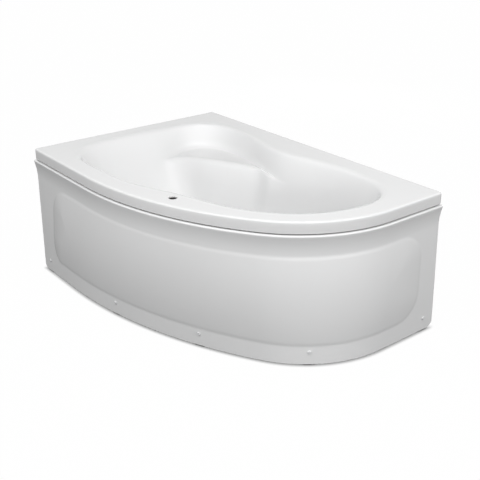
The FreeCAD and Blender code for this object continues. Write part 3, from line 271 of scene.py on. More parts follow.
def lip_points():
    """Points of the basin's edge on the deck, from the wide end along the front to the long wall."""
    side = rim_plan.left + rim_side
    wall = rim_plan.back - rim_wall
    bend_start = front_straight + rim_plan.stretches[1]
    front_stations = [
        (lip_start, rim_front),
        (deck_hole_station - armrest_left_reach, rim_shoulder),
        (deck_hole_station, armrest_width),
        (deck_hole_station + armrest_right_reach, rim_shoulder),
        (bend_start, rim_bend),
        (bend_start + rim_plan.stretches[2] / 2, rim_front),
        (bend_start + rim_plan.stretches[2] * lip_finish_share, rim_end_bend),
    ]
    points = corner_arc(side, rim_plan.front + rim_front, front_corner_radius, 180, 270)
    points += [rim_plan.at(station, inset)[0] for station, inset in front_stations]
    points += corner_arc(rim_plan.right - rim_end, wall, foot_corner_radius, 0, 90)
    for step in range(1 - SADDLE_STEPS, SADDLE_STEPS):
        offset = -saddle_half_length * step / SADDLE_STEPS
        swell = saddle_depth * (1 + math.cos(math.pi * offset / saddle_half_length)) / 2
        points.append(np.array([wall_x + saddle_place + offset, wall - swell]))
    points += corner_arc(side, wall, seat_corner_radius, 90, 180)
    return np.array(points)


def closed_spline(points, count):
    """Points at even distances along the closed cubic spline through the given ones."""
    size = len(points)
    chords = np.linalg.norm(np.roll(points, -1, 0) - points, axis=1)
    matrix = np.zeros((size, size))
    right = np.zeros((size, 2))
    for here in range(size):
        before = chords[here - 1]
        after = chords[here]
        matrix[here, here - 1] = after
        matrix[here, here] = 2 * (before + after)
        matrix[here, (here + 1) % size] = before
        forward = (points[(here + 1) % size] - points[here]) / after
        backward = (points[here] - points[here - 1]) / before
        right[here] = 3 * (forward * before + backward * after)
    slopes = np.linalg.solve(matrix, right)
    shares = np.linspace(0, 1, SPLINE_STEPS, endpoint=False)[:, None]
    dense = []
    for here in range(size):
        after = (here + 1) % size
        chord = chords[here]
        start = points[here] * (2 * shares ** 3 - 3 * shares ** 2 + 1)
        start = start + slopes[here] * chord * (shares ** 3 - 2 * shares ** 2 + shares)
        finish = points[after] * (3 * shares ** 2 - 2 * shares ** 3)
        dense.append(start + finish + slopes[after] * chord * (shares ** 3 - shares ** 2))
    dense = np.concatenate(dense + [points[:1]])
    lengths = np.concatenate([[0], np.cumsum(np.linalg.norm(np.diff(dense, axis=0), axis=1))])
    wanted = np.linspace(0, lengths[-1], count, endpoint=False)
    return np.column_stack([np.interp(wanted, lengths, dense[:, axis]) for axis in (0, 1)])


def floor_radius(angle):
    local = angle - floor_turn
    along = abs(math.cos(local)) / floor_half_length
    across = abs(math.sin(local)) / floor_half_width
    return (along ** floor_fullness + across ** floor_fullness) ** (-1 / floor_fullness)


def ridge_distance(angle):
    left = from_corner(*ridge_left)
    line = from_corner(*ridge_right) - left
    normal = np.array([-line[1], line[0]])
    return normal @ (left - floor_centre) / (normal @ np.array([math.cos(angle), math.sin(angle)]))


def seat_share(angle):
    """1 over the corner seat, 0 over the plain wall, with a soft change between them."""
    degrees = math.degrees(angle) % 360
    return float(smooth((degrees - seat_start_angle) / seat_fade_angle)
                 * smooth((seat_end_angle - degrees) / seat_fade_angle))


def mix(first, second, share):
    return (first[0] + (second[0] - first[0]) * share, first[1] + (second[1] - first[1]) * share)


def wall_corners(lip, angle):
    """Corners of the basin wall's profile, as (distance from the floor's centre, height)."""
    foot = floor_radius(angle)
    share = seat_share(angle)
    plain_seat = mix((lip, rim_top), (foot, floor_top), upper_share)
    plain_ridge = mix((lip, rim_top), (foot, floor_top), middle_share)
    corners = [(lip, rim_top), plain_seat, plain_ridge, (foot, floor_top)]
    if share > 0:
        seat = (lip - seat_wall_run, rim_top - seat_drop)
        ridge = (min(ridge_distance(angle), lip - ridge_least_reach), rim_top - ridge_drop)
        corners[1] = mix(plain_seat, seat, share)
        corners[2] = mix(plain_ridge, ridge, share)
    return corners


def toward(start, finish, reach):
    length = math.hypot(finish[0] - start[0], finish[1] - start[1])
    return mix(start, finish, min(reach / length, ROUNDING_LIMIT))


def rounded_profile(corners, reaches):
    points = []
    for index, reach in enumerate(reaches, 1):
        before = toward(corners[index], corners[index - 1], reach)
        after = toward(corners[index], corners[index + 1], reach)
        for step in range(CORNER_STEPS + 1):
            share = step / CORNER_STEPS
            points.append(mix(mix(before, corners[index], share), mix(corners[index], after, share), share))
    return points


def inner_profile(lip, angle):
    corners = wall_corners(lip, angle)
    deck_end = (lip + PROFILE_OVERRUN * lip_reach, rim_top)
    floor_end = (corners[-1][0] - PROFILE_OVERRUN * floor_reach, floor_top)
    return rounded_profile([deck_end] + corners + [floor_end],
                           [lip_reach, seat_reach, ridge_reach, floor_reach])


def unit_normal(start, finish):
    dx = finish[0] - start[0]
    dz = finish[1] - start[1]
    length = math.hypot(dx, dz)
    return (-dz / length, dx / length)


def outer_profile(lip, angle):
    """The underside: the same wall, moved outwards by the shell's thickness."""
    corners = wall_corners(lip, angle)
    corners.append((corners[-1][0] - PROFILE_OVERRUN * floor_reach, floor_top))
    moved = []
    for index, corner in enumerate(corners[:-1]):
        after = unit_normal(corner, corners[index + 1])
        before = unit_normal(corners[index - 1], corner) if index else after
        scale = shell_wall / (1 + before[0] * after[0] + before[1] * after[1])
        across = corner[0] + (before[0] + after[0]) * scale
        up = corner[1] + (before[1] + after[1]) * scale
        moved.append((across, up))
    moved.append((corners[-1][0], floor_top - shell_wall))
    start = (moved[0][0], rim_top - shell_wall / 2)
    return [start] + rounded_profile(moved, [seat_reach + shell_wall, ridge_reach, floor_reach])


def basis(params, knots):
    """Cubic B-spline weights: one row per parameter, one column per pole."""
    params = np.minimum(params, knots[-1] - 1e-9)
    weights = ((knots[:-1] <= params[:, None]) & (params[:, None] < knots[1:])).astype(float)
    for degree in (1, 2, 3):
        count = len(knots) - 1 - degree
        rising = knots[degree:degree + count] - knots[:count]
        falling = knots[degree + 1:degree + 1 + count] - knots[1:1 + count]
        up = np.divide(params[:, None] - knots[:count], rising, where=rising > 0,
                       out=np.zeros((len(params), count)))
        down = np.divide(knots[degree + 1:degree + 1 + count] - params[:, None], falling, where=falling > 0,
                         out=np.zeros((len(params), count)))
        weights = up * weights[:, :count] + down * weights[:, 1:count + 1]
    return weights


class Basin:
    """The smooth surface whose poles are the same point of every radial profile in turn."""

    def __init__(self, profile):
        poles = []
        for point in closed_spline(lip_points(), LIP_STATIONS):
            arm = point - floor_centre
            reach = np.linalg.norm(arm)
            direction = arm / reach
            column = []
            for distance, height in profile(reach, math.atan2(arm[1], arm[0])):
                flat = floor_centre + direction * distance
                column.append((flat[0], flat[1], height))
            poles.append(column)
        self.poles = np.array(poles)
        self.spans = self.poles.shape[1] - 3

    def at(self, turns, downs):
        """Grid of points; turns run round the basin from 0 to LIP_STATIONS, downs from 0 to spans."""
        knots = np.arange(-3, LIP_STATIONS + 4, dtype=float)
        across = basis(turns, knots)
        wrapped = np.concatenate([self.poles, self.poles[:3]])[:across.shape[1]]
        inner_knots = np.arange(1, self.spans, dtype=float)
        down_knots = np.concatenate([np.zeros(4), inner_knots, np.full(4, float(self.spans))])
        down = basis(downs, down_knots)
        return np.einsum("ip,pqc,jq->ijc", across, wrapped, down)

    def turn_at(self, angles):
        """The turn at which the surface's upper edge lies at each angle from the floor's centre."""
        turns = np.linspace(0, LIP_STATIONS, TURN_SAMPLES)
        edge = self.at(turns, np.array([0.0]))[:, 0, :2] - floor_centre
        around = np.unwrap(np.arctan2(edge[:, 1], edge[:, 0]))
        first = around[0]
        wanted = first + np.mod(angles - first, 2 * math.pi)
        return np.interp(wanted, around, turns)


# ---- mesh helpers --------------------------------------------------------------------------------

def piece(name, vertices, faces, sharp_angle=SHARP_ANGLE):
    mesh = bpy.data.meshes.new(name)
    mesh.from_pydata([tuple(map(float, v)) for v in vertices], [], faces)
    shape = bmesh.new()
    shape.from_mesh(mesh)
    bmesh.ops.recalc_face_normals(shape, faces=shape.faces)
    shape.to_mesh(mesh)
    shape.free()
    obj = bpy.data.objects.new(name, mesh)
    bpy.context.scene.collection.objects.link(obj)
    soften(obj, sharp_angle)
    return obj


def soften(obj, sharp_angle=SHARP_ANGLE):
    for polygon in obj.data.polygons:
        polygon.use_smooth = True
    obj.data.set_sharp_from_angle(angle=math.radians(sharp_angle))


def lathe(name, outline, origin, axis):
    """Closed solid of revolution from (radius, distance along the axis) pairs."""
    axis = Vector(axis).normalized()
    side = axis.orthogonal().normalized()
    across = axis.cross(side)
    vertices = []
    faces = []
    for radius, along in outline:
        for step in range(HOLE_SIDES):
            angle = 2 * math.pi * step / HOLE_SIDES
            spoke = side * math.cos(angle) + across * math.sin(angle)
            vertices.append(tuple(Vector(origin) + axis * along + spoke * radius))
    for row in range(len(outline) - 1):
        for step in range(HOLE_SIDES):
            after = (step + 1) % HOLE_SIDES
            here = row * HOLE_SIDES
            faces.append((here + step, here + after, here + HOLE_SIDES + after, here + HOLE_SIDES + step))
    faces.append(tuple(range(HOLE_SIDES)))
    last = (len(outline) - 1) * HOLE_SIDES
    faces.append(tuple(range(last, last + HOLE_SIDES)))
    return piece(name, vertices, faces)


def drill(obj, cutters):
    """Cuts the cutters out of the mesh and deletes them."""
    for cutter in cutters:
        modifier = obj.modifiers.new("hole", "BOOLEAN")
        modifier.operation = "DIFFERENCE"
        modifier.solver = "EXACT"
        modifier.object = cutter
    bpy.context.view_layer.update()
    evaluated = obj.evaluated_get(bpy.context.evaluated_depsgraph_get())
    mesh = bpy.data.meshes.new_from_object(evaluated)
    obj.modifiers.clear()
    obj.data = mesh
    for cutter in cutters:
        bpy.data.objects.remove(cutter)
    soften(obj)


def hole_outline(radius, low, high):
    """Outline of a drill whose upper end flares softly at high."""
    outline = [(radius, low)]
    for step in range(HOLE_EDGE_STEPS + 1):
        angle = math.pi / 2 * step / HOLE_EDGE_STEPS
        outline.append((radius + hole_edge_radius * (1 - math.cos(angle)),
                        high - hole_edge_radius * (1 - math.sin(angle))))
    outline.append((radius + 2 * hole_edge_radius, high + 4 * hole_edge_radius))
    return outline


# ---- tub shell -----------------------------------------------------------------------------------

def rounded_corner(corner, before, after):
    """Points and normals of an outline corner rounded by the corner radius, between two side normals."""
    centre = np.array(corner) - (np.array(before) + np.array(after)) * corner_radius
    found = []
    for share in np.linspace(0, 1, RIM_CORNER_STEPS):
        angle = share * math.pi / 2
        normal = np.array(before) * math.cos(angle) + np.array(after) * math.sin(angle)
        found.append((centre + normal * corner_radius, normal))
    return found


def straight_side(start, finish, normal):
    """Points and normals along a wall side, without its two ends."""
    start = np.array(start)
    finish = np.array(finish)
    length = np.linalg.norm(finish - start)
    shares = evenly(0, length, OUTLINE_PITCH)[1:-1] / length
    return [(start + (finish - start) * share, np.array(normal)) for share in shares]


def rim_outline():
    """Points and outward normals round the rim, with its three rounded corners."""
    plan = rim_plan
    reach = corner_radius
    outline = []
    for station in evenly(reach, plan.front_length - reach, OUTLINE_PITCH)[1:-1]:
        outline.append(plan.at(station))
    outline += rounded_corner((plan.right, plan.back), (1, 0), (0, 1))
    outline += straight_side((plan.right - reach, plan.back), (plan.left + reach, plan.back), (0, 1))
    outline += rounded_corner((plan.left, plan.back), (0, 1), (-1, 0))
    outline += straight_side((plan.left, plan.back - reach), (plan.left, plan.front + reach), (-1, 0))
    outline += rounded_corner((plan.left, plan.front), (-1, 0), (0, -1))
    points = np.array([point for point, normal in outline])
    normals = np.array([normal for point, normal in outline])
    return points, normals


def at_height(flat, height):
    return np.column_stack([flat, np.full(len(flat), height)])


def rim_rings(points, normals):
    """Rings from the deck's outer edge over the rounding, down the skirt and up its inside."""
    rings = []
    for share in np.linspace(0, 1, RIM_EDGE_STEPS):
        angle = share * math.pi / 2
        inset = rim_edge_radius * (1 - math.sin(angle))
        rings.append(at_height(points - normals * inset, rim_top - rim_edge_radius * (1 - math.cos(angle))))
    low = rim_top - skirt_height
    radius = skirt_edge_radius
    rings.append(at_height(points, rim_top - 2 * rim_edge_radius))
    for share in np.linspace(0, 1, SKIRT_EDGE_STEPS):
        angle = share * math.pi / 2
        rings.append(at_height(points - normals * radius * (1 - math.cos(angle)),
                               low + radius * (1 - math.sin(angle))))
    for share in np.linspace(0, 1, SKIRT_EDGE_STEPS):
        angle = share * math.pi / 2
        inset = shell_wall - radius * (1 - math.sin(angle))
        rings.append(at_height(points - normals * inset, low + radius * (1 - math.cos(angle))))
    rings.append(at_height(points - normals * shell_wall, rim_top - shell_wall))
    return rings


def between(start, finish, count):
    """Rings between two rings, both left out."""
    shares = np.linspace(0, 1, count + 2)[1:-1]
    return [start + (finish - start) * share for share in shares]


def tub_shell():
    points, normals = rim_outline()
    inner = Basin(inner_profile)
    outer = Basin(outer_profile)
    arms = points - normals * rim_edge_radius - floor_centre
    turns = inner.turn_at(np.arctan2(arms[:, 1], arms[:, 0]))
    wall = inner.at(turns, evenly(0, inner.spans, SPAN_PITCH))
    under = outer.at(turns, evenly(0, outer.spans, SPAN_PITCH))
    basin = [wall[:, index] for index in range(wall.shape[1])]
    rim = rim_rings(points, normals)
    centre = at_height(np.repeat(floor_centre[None, :], len(points), 0), floor_top)
    below = [start_underside(under)]
    below += [under[:, index] for index in range(UNDER_SKIPPED_RINGS, under.shape[1])]
    centre_below = centre - np.array([0, 0, shell_wall])
    rings = between(centre, basin[-1], FLOOR_RINGS) + basin[::-1]
    rings += between(basin[0], rim[0], DECK_RINGS) + rim
    rings += between(rim[-1], below[0], UNDER_DECK_RINGS) + below
    rings += between(below[-1], centre_below, FLOOR_RINGS)
    shell = closed_rings("bath_shell", rings, centre[0], centre_below[0])
    drill(shell, shell_drills())
    return shell


def start_underside(under):
    """Where the underside of the basin leaves the underside of the deck."""
    level = rim_top - shell_wall
    start = under[:, 0].copy()
    for index in range(len(start)):
        heights = under[index, :UNDER_LEVEL_RINGS, 2]
        place = np.interp(-level, -heights, np.arange(UNDER_LEVEL_RINGS))
        low = int(place)
        high = min(low + 1, UNDER_LEVEL_RINGS - 1)
        start[index] = under[index, low] + (under[index, high] - under[index, low]) * (place - low)
    return start


def closed_rings(name, rings, first, last):
    """Closed skin over rings of equal size, shut by a point at each end."""
    size = len(rings[0])
    vertices = np.concatenate(rings + [first[None, :], last[None, :]])
    faces = []
    for row in range(len(rings) - 1):
        for step in range(size):
            after = (step + 1) % size
            here = row * size
            faces.append((here + step, here + after, here + size + after, here + size + step))
    start = len(rings) * size
    tail = (len(rings) - 1) * size
    for step in range(size):
        after = (step + 1) % size
        faces.append((start, after, step))
        faces.append((start + 1, tail + step, tail + after))
    return piece(name, vertices, faces)


def shell_drills():
    """Cutters for the tap's, the waste's and the overflow's holes."""
    reach = 4 * shell_wall
    up = (0, 0, 1)
    deck = rim_plan.at(deck_hole_station, deck_hole_inset)[0]
    knob = next(joint for joint in frame["joints"] if joint["name"] == "overflow_knob_turn")
    deck_outline = hole_outline(deck_hole_radius, -reach, 0)
    waste_outline = hole_outline(waste_hole_radius, -reach, 0)
    overflow_outline = [(overflow_hole_radius, -reach), (overflow_hole_radius, reach)]
    return [
        lathe("deck_drill", deck_outline, (*deck, rim_top), up),
        lathe("waste_drill", waste_outline, (*waste_centre, floor_top), up),
        lathe("overflow_drill", overflow_outline, knob["pos_m"], knob["axis"]),
    ]


# ---- front panel ---------------------------------------------------------------------------------

def foot_station(station):
    """The station on the panel's foot under a station on the rim."""
    rim_start = 0.0
    foot_start = 0.0
    for rim_length, foot_length in zip(rim_plan.stretches, foot_plan.stretches):
        if station <= rim_start + rim_length or rim_length == rim_plan.stretches[-1]:
            break
        rim_start += rim_length
        foot_start += foot_length
    return foot_start + (station - rim_start) * foot_length / rim_length


def field_bulge(station, z):
    """How far the raised, cushion-shaped field stands out there."""
    finish = rim_plan.front_length - field_finish
    half_height = (field_high - field_low) / 2
    across = abs(station - (field_start + finish) / 2) - (finish - field_start) / 2 + field_corner_radius
    upward = np.abs(z - (field_low + field_high) / 2) - half_height + field_corner_radius
    beyond = np.hypot(np.maximum(across, 0), np.maximum(upward, 0))
    outside = beyond + np.minimum(np.maximum(across, upward), 0)
    depth = np.maximum(field_corner_radius - outside, 0)
    crease = smooth(depth / field_step_width)
    crown = (field_crown - field_step) * (1 - (1 - np.minimum(depth / half_height, 1)) ** 2)
    return field_step * crease + crown * smooth(depth / field_step_width + field_crown_lead)


def face_rows(low):
    """Heights of the leaning face's rows, from its top down to the panel's lower edge there."""
    face_top = panel_top - band_depth
    upper = evenly(face_top, field_low - field_row_margin, PANEL_PITCH)
    lower = np.linspace(upper[-1], low, FOOT_ROWS)[1:]
    return np.concatenate([upper, lower])


def leaning_face(station, inset):
    """Plan points and heights down the panel's face at a station."""
    face_top = panel_top - band_depth
    end_distance = min(station, rim_plan.front_length - station)
    reach = max(skirting_radius - end_distance, 0.0)
    low = panel_bottom + skirting_radius - math.sqrt(max(skirting_radius ** 2 - reach ** 2, 0.0))
    z = face_rows(low)
    top, normal = rim_plan.at(station, inset + band_inset)
    foot = foot_plan.at(foot_station(station), inset)[0]
    share = (face_top - z) / (face_top - panel_bottom)
    return top + (foot - top) * share[:, None] + normal * field_bulge(station, z)[:, None], z


def bead_rows(inset):
    """Offsets and heights of the bead and the hollow band below it."""
    offsets = []
    heights = []
    top = panel_top - seam_gap - inset
    for angle in np.linspace(0, math.pi / 2, BEAD_STEPS):
        offsets.append(flange_proud - bead_radius * (1 - math.sin(angle)) - inset)
        heights.append(top - bead_radius * (1 - math.cos(angle)))
    start = panel_top - flange_height + bead_overlap
    for share in np.linspace(0, 1, BAND_ROWS, endpoint=False):
        drop = 1 - (1 - share) ** 2
        offsets.append(flange_proud - (flange_proud + band_inset) * drop - inset)
        heights.append(start - (band_depth - flange_height + bead_overlap) * share)
    return np.array(offsets), np.array(heights)


def panel_column(station, inset):
    """Plan points and heights down the bead, the hollow band and the face at a station."""
    edge, normal = rim_plan.at(station)
    bead_offsets, bead_heights = bead_rows(inset)
    bead = edge + normal * bead_offsets[:, None]
    face, face_heights = leaning_face(station, inset)
    return np.concatenate([bead, face]), np.concatenate([bead_heights, face_heights])


def panel_skin(inset):
    """Grid of points of the outer face, or of the inner one when it is moved in by the wall."""
    length = rim_plan.front_length
    radius = panel_corner_radius if inset == 0 else panel_inner_radius
    returns = np.linspace(panel_return, radius + return_start, RETURN_COLUMNS)
    angles = np.linspace(0, math.pi / 2, CORNER_COLUMNS + 1)
    columns = [("left", distance, 0.0) for distance in returns]
    columns += [("left_corner", angle, 0.0) for angle in angles[:-1]]
    for station in evenly(inset + radius, length - inset - radius, PANEL_PITCH):
        columns.append(("front", 0.0, station))
    columns += [("right_corner", angle, length) for angle in angles[1:]]
    columns += [("right", distance, length) for distance in returns[::-1]]
    grid = []
    for kind, value, station in columns:
        flat, heights = panel_column(station, inset)
        grid.append(np.column_stack([turned_in(kind, value, station, flat, inset, radius), heights]))
    return np.array(grid)


def turned_in(kind, value, station, flat, inset, radius):
    """Plan points of one column: on the front, on a return at a wall, or on the corner between them."""
    plan = rim_plan
    edge, normal = plan.at(station)
    offsets = (flat - edge) @ normal
    same = np.zeros(len(offsets))
    if kind == "left":
        x = same + plan.left + inset
        y = same + plan.front + value
    elif kind == "left_corner":
        x = same + plan.left + inset + radius * (1 - math.cos(value))
        y = plan.front - offsets + radius * (1 - math.sin(value))
    elif kind == "right_corner":
        x = plan.right + offsets - radius * (1 - math.cos(value))
        y = same + plan.back - inset - radius * (1 - math.sin(value))
    elif kind == "right":
        x = same + plan.right - value
        y = same + plan.back - inset
    else:
        return flat
    return np.column_stack([x, y])


def flange_row(grid, height):
    """The top flange's inner edge, over each column of the grid."""
    length = rim_plan.front_length
    side = RETURN_COLUMNS + CORNER_COLUMNS
    front = len(grid) - 2 * side - 1
    row = []
    for index in range(len(grid)):
        station = np.clip((index - side) / front, 0, 1) * length
        place = min(max(station, flange_depth), length - flange_depth)
        edge = rim_plan.at(place, flange_depth)[0]
        row.append((edge[0], edge[1], height))
    return np.array(row)


def front_panel():
    """Closed sheet: flange, outer face down to the foot, and the inner face back up."""
    outside = panel_skin(0.0)
    inside = panel_skin(panel_wall)
    top = flange_row(outside, panel_top - seam_gap)
    under = flange_row(inside, panel_top - seam_gap - panel_wall)
    rows = [top] + between(top, outside[:, 0], FLANGE_ROWS)
    rows += [outside[:, index] for index in range(outside.shape[1])]
    rows += [inside[:, index] for index in range(inside.shape[1] - 1, -1, -1)]
    rows += between(inside[:, 0], under, FLANGE_ROWS) + [under]
    count = len(outside)
    total = len(rows)
    faces = []
    for row in range(total):
        here = row * count
        below = (row + 1) % total * count
        for step in range(count - 1):
            faces.append((here + step, here + step + 1, below + step + 1, below + step))
    for end in (0, count - 1):
        for row in range(total // 2 - 1):
            other = total - 1 - row
            faces.append(tuple(level * count + end for level in (row, row + 1, other - 1, other)))
    return piece("panel_shell", np.concatenate(rows), faces, PANEL_SHARP_ANGLE)


# ---- materials -----------------------------------------------------------------------------------

class Surface:
    """A node material with one principled shader and a few helpers to wire it."""

    def __init__(self, name):
        self.material = bpy.data.materials.new(name)
        self.material.use_nodes = True
        self.tree = self.material.node_tree
        self.shader = self.tree.nodes["Principled BSDF"]
        self.place = self.node("ShaderNodeTexCoord").outputs["Object"]

    def node(self, kind, **inputs):
        made = self.tree.nodes.new(kind)
        for name, value in inputs.items():
            socket = made.inputs[name.replace("_", " ")]
            if isinstance(value, bpy.types.NodeSocket):
                self.tree.links.new(value, socket)
            else:
                socket.default_value = value
        return made

    def set(self, **values):
        for name, value in values.items():
            self.shader.inputs[name.replace("_", " ")].default_value = value

    def link(self, output, name):
        self.tree.links.new(output, self.shader.inputs[name])

    def noise(self, scale, detail=3.0, stretch=(1, 1, 1)):
        mapped = self.node("ShaderNodeMapping", Vector=self.place, Scale=stretch).outputs["Vector"]
        return self.node("ShaderNodeTexNoise", Vector=mapped, Scale=scale, Detail=detail).outputs["Fac"]

    def ramp(self, value, stops):
        made = self.node("ShaderNodeValToRGB", Fac=value)
        elements = made.color_ramp.elements
        while len(elements) < len(stops):
            elements.new(0.5)
        for element, (place, colour) in zip(elements, stops):
            element.position = place
            element.color = (*colour, 1)
        return made.outputs["Color"]

    def range(self, value, low, high, start=0.0):
        made = self.node("ShaderNodeMapRange", Value=value)
        made.inputs["From Min"].default_value = start
        made.inputs["To Min"].default_value = low
        made.inputs["To Max"].default_value = high
        return made.outputs["Result"]

    def bump(self, height, strength, distance):
        made = self.node("ShaderNodeBump", Height=height, Strength=strength, Distance=distance)
        self.link(made.outputs["Normal"], "Normal")


def acrylic():
    """Gloss moulded acrylic, faintly uneven in colour, gloss and flatness."""
    surface = Surface("acrylic_gloss")
    tones = [(0.3, (0.852, 0.854, 0.855)), (0.7, (0.872, 0.874, 0.875))]
    surface.link(surface.ramp(surface.noise(2.2), tones), "Base Color")
    surface.link(surface.range(surface.noise(9.0, 4.0), 0.17, 0.26), "Roughness")
    surface.bump(surface.noise(26.0, 2.0), 0.05, 0.001)
    surface.set(IOR=1.49, Coat_Weight=0.35, Coat_Roughness=0.08)
    return surface.material


def plastic(name, dark, light, low, high, grain):
    """Moulded plastic between two tones and two roughnesses, with a fine grain."""
    surface = Surface(name)
    surface.link(surface.ramp(surface.noise(14.0, 4.0), [(0.3, dark), (0.7, light)]), "Base Color")
    surface.link(surface.range(surface.noise(40.0, 4.0), low, high), "Roughness")
    surface.bump(surface.noise(grain, 3.0), 0.12, 0.0006)
    return surface.material


def powder_coat():
    surface = Surface("powder_coat")
    tones = [(0.35, (0.085, 0.093, 0.10)), (0.65, (0.115, 0.123, 0.13))]
    surface.link(surface.ramp(surface.noise(30.0, 5.0), tones), "Base Color")
    surface.link(surface.range(surface.noise(60.0), 0.42, 0.58), "Roughness")
    surface.bump(surface.noise(900.0, 2.0), 0.35, 0.0004)
    return surface.material


def zinc():
    surface = Surface("zinc_plate")
    cells = surface.node("ShaderNodeTexVoronoi", Vector=surface.place, Scale=90.0).outputs["Distance"]
    surface.link(surface.ramp(cells, [(0.1, (0.46, 0.48, 0.49)), (0.8, (0.62, 0.63, 0.62))]), "Base Color")
    surface.link(surface.range(surface.noise(120.0, 4.0), 0.24, 0.42), "Roughness")
    surface.bump(surface.noise(300.0, 2.0), 0.1, 0.0003)
    surface.set(Metallic=1.0)
    return surface.material


def chrome():
    surface = Surface("polished_chrome")
    tones = [(0.3, (0.80, 0.81, 0.82)), (0.7, (0.86, 0.87, 0.88))]
    surface.link(surface.ramp(surface.noise(8.0), tones), "Base Color")
    surface.link(surface.range(surface.noise(70.0, 5.0), 0.03, 0.09), "Roughness")
    surface.bump(surface.noise(160.0, 2.0), 0.02, 0.0002)
    surface.set(Metallic=1.0)
    return surface.material


def softwood():
    surface = Surface("planed_softwood")
    grain = surface.noise(3.0, 4.0, (2.0, 9.0, 26.0))
    rings = surface.node("ShaderNodeTexWave", Vector=surface.place, Scale=9.0, Distortion=7.0, Detail=3.0)
    both = surface.node("ShaderNodeMath")
    both.operation = "MULTIPLY"
    surface.tree.links.new(grain, both.inputs[0])
    surface.tree.links.new(rings.outputs["Fac"], both.inputs[1])
    tones = [(0.1, (0.63, 0.43, 0.22)), (0.4, (0.52, 0.33, 0.15)), (0.7, (0.38, 0.22, 0.09))]
    surface.link(surface.ramp(both.outputs[0], tones), "Base Color")
    surface.link(surface.range(grain, 0.55, 0.75), "Roughness")
    surface.bump(both.outputs[0], 0.25, 0.0008)
    return surface.material


def chipboard():
    surface = Surface("pressed_chipboard")
    flakes = surface.node("ShaderNodeTexVoronoi", Vector=surface.place, Scale=170.0).outputs["Color"]
    tone = surface.node("ShaderNodeRGBToBW", Color=flakes).outputs["Val"]
    tones = [(0.15, (0.30, 0.19, 0.09)), (0.5, (0.48, 0.33, 0.17)), (0.85, (0.60, 0.44, 0.25))]
    surface.link(surface.ramp(tone, tones), "Base Color")
    surface.link(surface.range(surface.noise(200.0), 0.65, 0.85), "Roughness")
    surface.bump(tone, 0.4, 0.0006)
    return surface.material


finishes = {
    "acrylic": acrylic(),
    "cap_plastic": plastic("cap_satin", (0.74, 0.745, 0.75), (0.79, 0.795, 0.80), 0.28, 0.40, 500.0),
    "frame_paint": powder_coat(),
    "zinc_steel": zinc(),
    "pad_plastic": plastic("pad_black", (0.018, 0.018, 0.020), (0.032, 0.032, 0.034), 0.45, 0.65, 700.0),
    "batten_wood": softwood(),
    "board_wood": chipboard(),
    "chrome": chrome(),
    "seal_rubber": plastic("seal_black", (0.012, 0.012, 0.012), (0.025, 0.025, 0.025), 0.60, 0.80, 900.0),
    "pipe_plastic": plastic("pipe_white", (0.66, 0.67, 0.67), (0.72, 0.73, 0.72), 0.35, 0.50, 400.0),
    "hose_plastic": plastic("hose_grey", (0.30, 0.31, 0.32), (0.36, 0.37, 0.38), 0.40, 0.55, 400.0),
    "cable_plastic": plastic("cable_black", (0.015, 0.015, 0.015), (0.028, 0.028, 0.028), 0.40, 0.55, 500.0),
}


def paint(obj, slot):
    obj.data.materials.clear()
    obj.data.materials.append(finishes[slot])


for part in frame["record"]["subparts"]:
    paint(nodes[part["node"]], part["material_slot"])


# ---- the two moulded shells ----------------------------------------------------------------------

for made, node in ((tub_shell(), "tub_shell"), (front_panel(), "front_panel")):
    paint(made, "acrylic")
    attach(made, "root")
    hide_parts(node)


# ---- stage, light and camera ---------------------------------------------------------------------

FLOOR_HALF = 12.0
FLOOR_DROP = 0.0005
FLOOR_TONE = 0.07
FLOOR_ROUGHNESS = 0.9
FLOOR_GLOW = 1.12
WORLD_LIGHT = 0.16
SHADOW_SHARE = 0.12
# reach and depth of the painted contact shadow, which ambient occlusion sets in the floor's glow
PAINTED_SHADOW_REACH = 0.02
PAINTED_SHADOW_GLOW = 0.10
PAINTED_SHADOW_START = 0.40
LAMP_TARGET = (0, 0, 0.3)

CAMERA_AZIMUTH = math.radians(51.60)
CAMERA_ELEVATION = math.radians(24.17)
CAMERA_DISTANCE = 3.498
CAMERA_LENS = 61.6
CAMERA_SENSOR = 36.0
CAMERA_REACH = 60.0
CAMERA_TARGET = (wall_x + 0.851, wall_y - 0.4922, 0.295)


def floor_plane():
    """Floor that the camera sees white, with a painted contact shadow that dims its glow where the bath nearly
    touches it.
    """
    mesh = bpy.data.meshes.new("floor")
    corners = [(-FLOOR_HALF, -FLOOR_HALF, 0), (FLOOR_HALF, -FLOOR_HALF, 0),
               (FLOOR_HALF, FLOOR_HALF, 0), (-FLOOR_HALF, FLOOR_HALF, 0)]
    mesh.from_pydata(corners, [], [(0, 1, 2, 3)])
    plane = bpy.data.objects.new("floor", mesh)
    bpy.context.scene.collection.objects.link(plane)
    plane.location.z = -FLOOR_DROP
    surface = Surface("floor_pale")
    surface.set(Base_Color=(FLOOR_TONE, FLOOR_TONE, FLOOR_TONE, 1), Roughness=FLOOR_ROUGHNESS)
    # painted contact shadow: ambient occlusion dims the floor's glow near the bath
    painted_shadow = surface.node("ShaderNodeAmbientOcclusion", Distance=PAINTED_SHADOW_REACH)
    glow = surface.node("ShaderNodeEmission", Color=(1, 1, 1, 1))
    strength = surface.range(painted_shadow.outputs["AO"], PAINTED_SHADOW_GLOW, FLOOR_GLOW, PAINTED_SHADOW_START)
    surface.tree.links.new(strength, glow.inputs["Strength"])
    rays = surface.node("ShaderNodeLightPath").outputs
    share = surface.node("ShaderNodeMath")
    share.operation = "MULTIPLY"
    surface.tree.links.new(rays["Is Camera Ray"], share.inputs[0])
    share.inputs[1].default_value = 1 - SHADOW_SHARE
    blend = surface.node("ShaderNodeMixShader")
    surface.tree.links.new(share.outputs[0], blend.inputs[0])
    surface.tree.links.new(surface.shader.outputs[0], blend.inputs[1])
    surface.tree.links.new(glow.outputs[0], blend.inputs[2])
    surface.tree.links.new(blend.outputs[0], surface.tree.nodes["Material Output"].inputs["Surface"])
    plane.data.materials.append(surface.material)


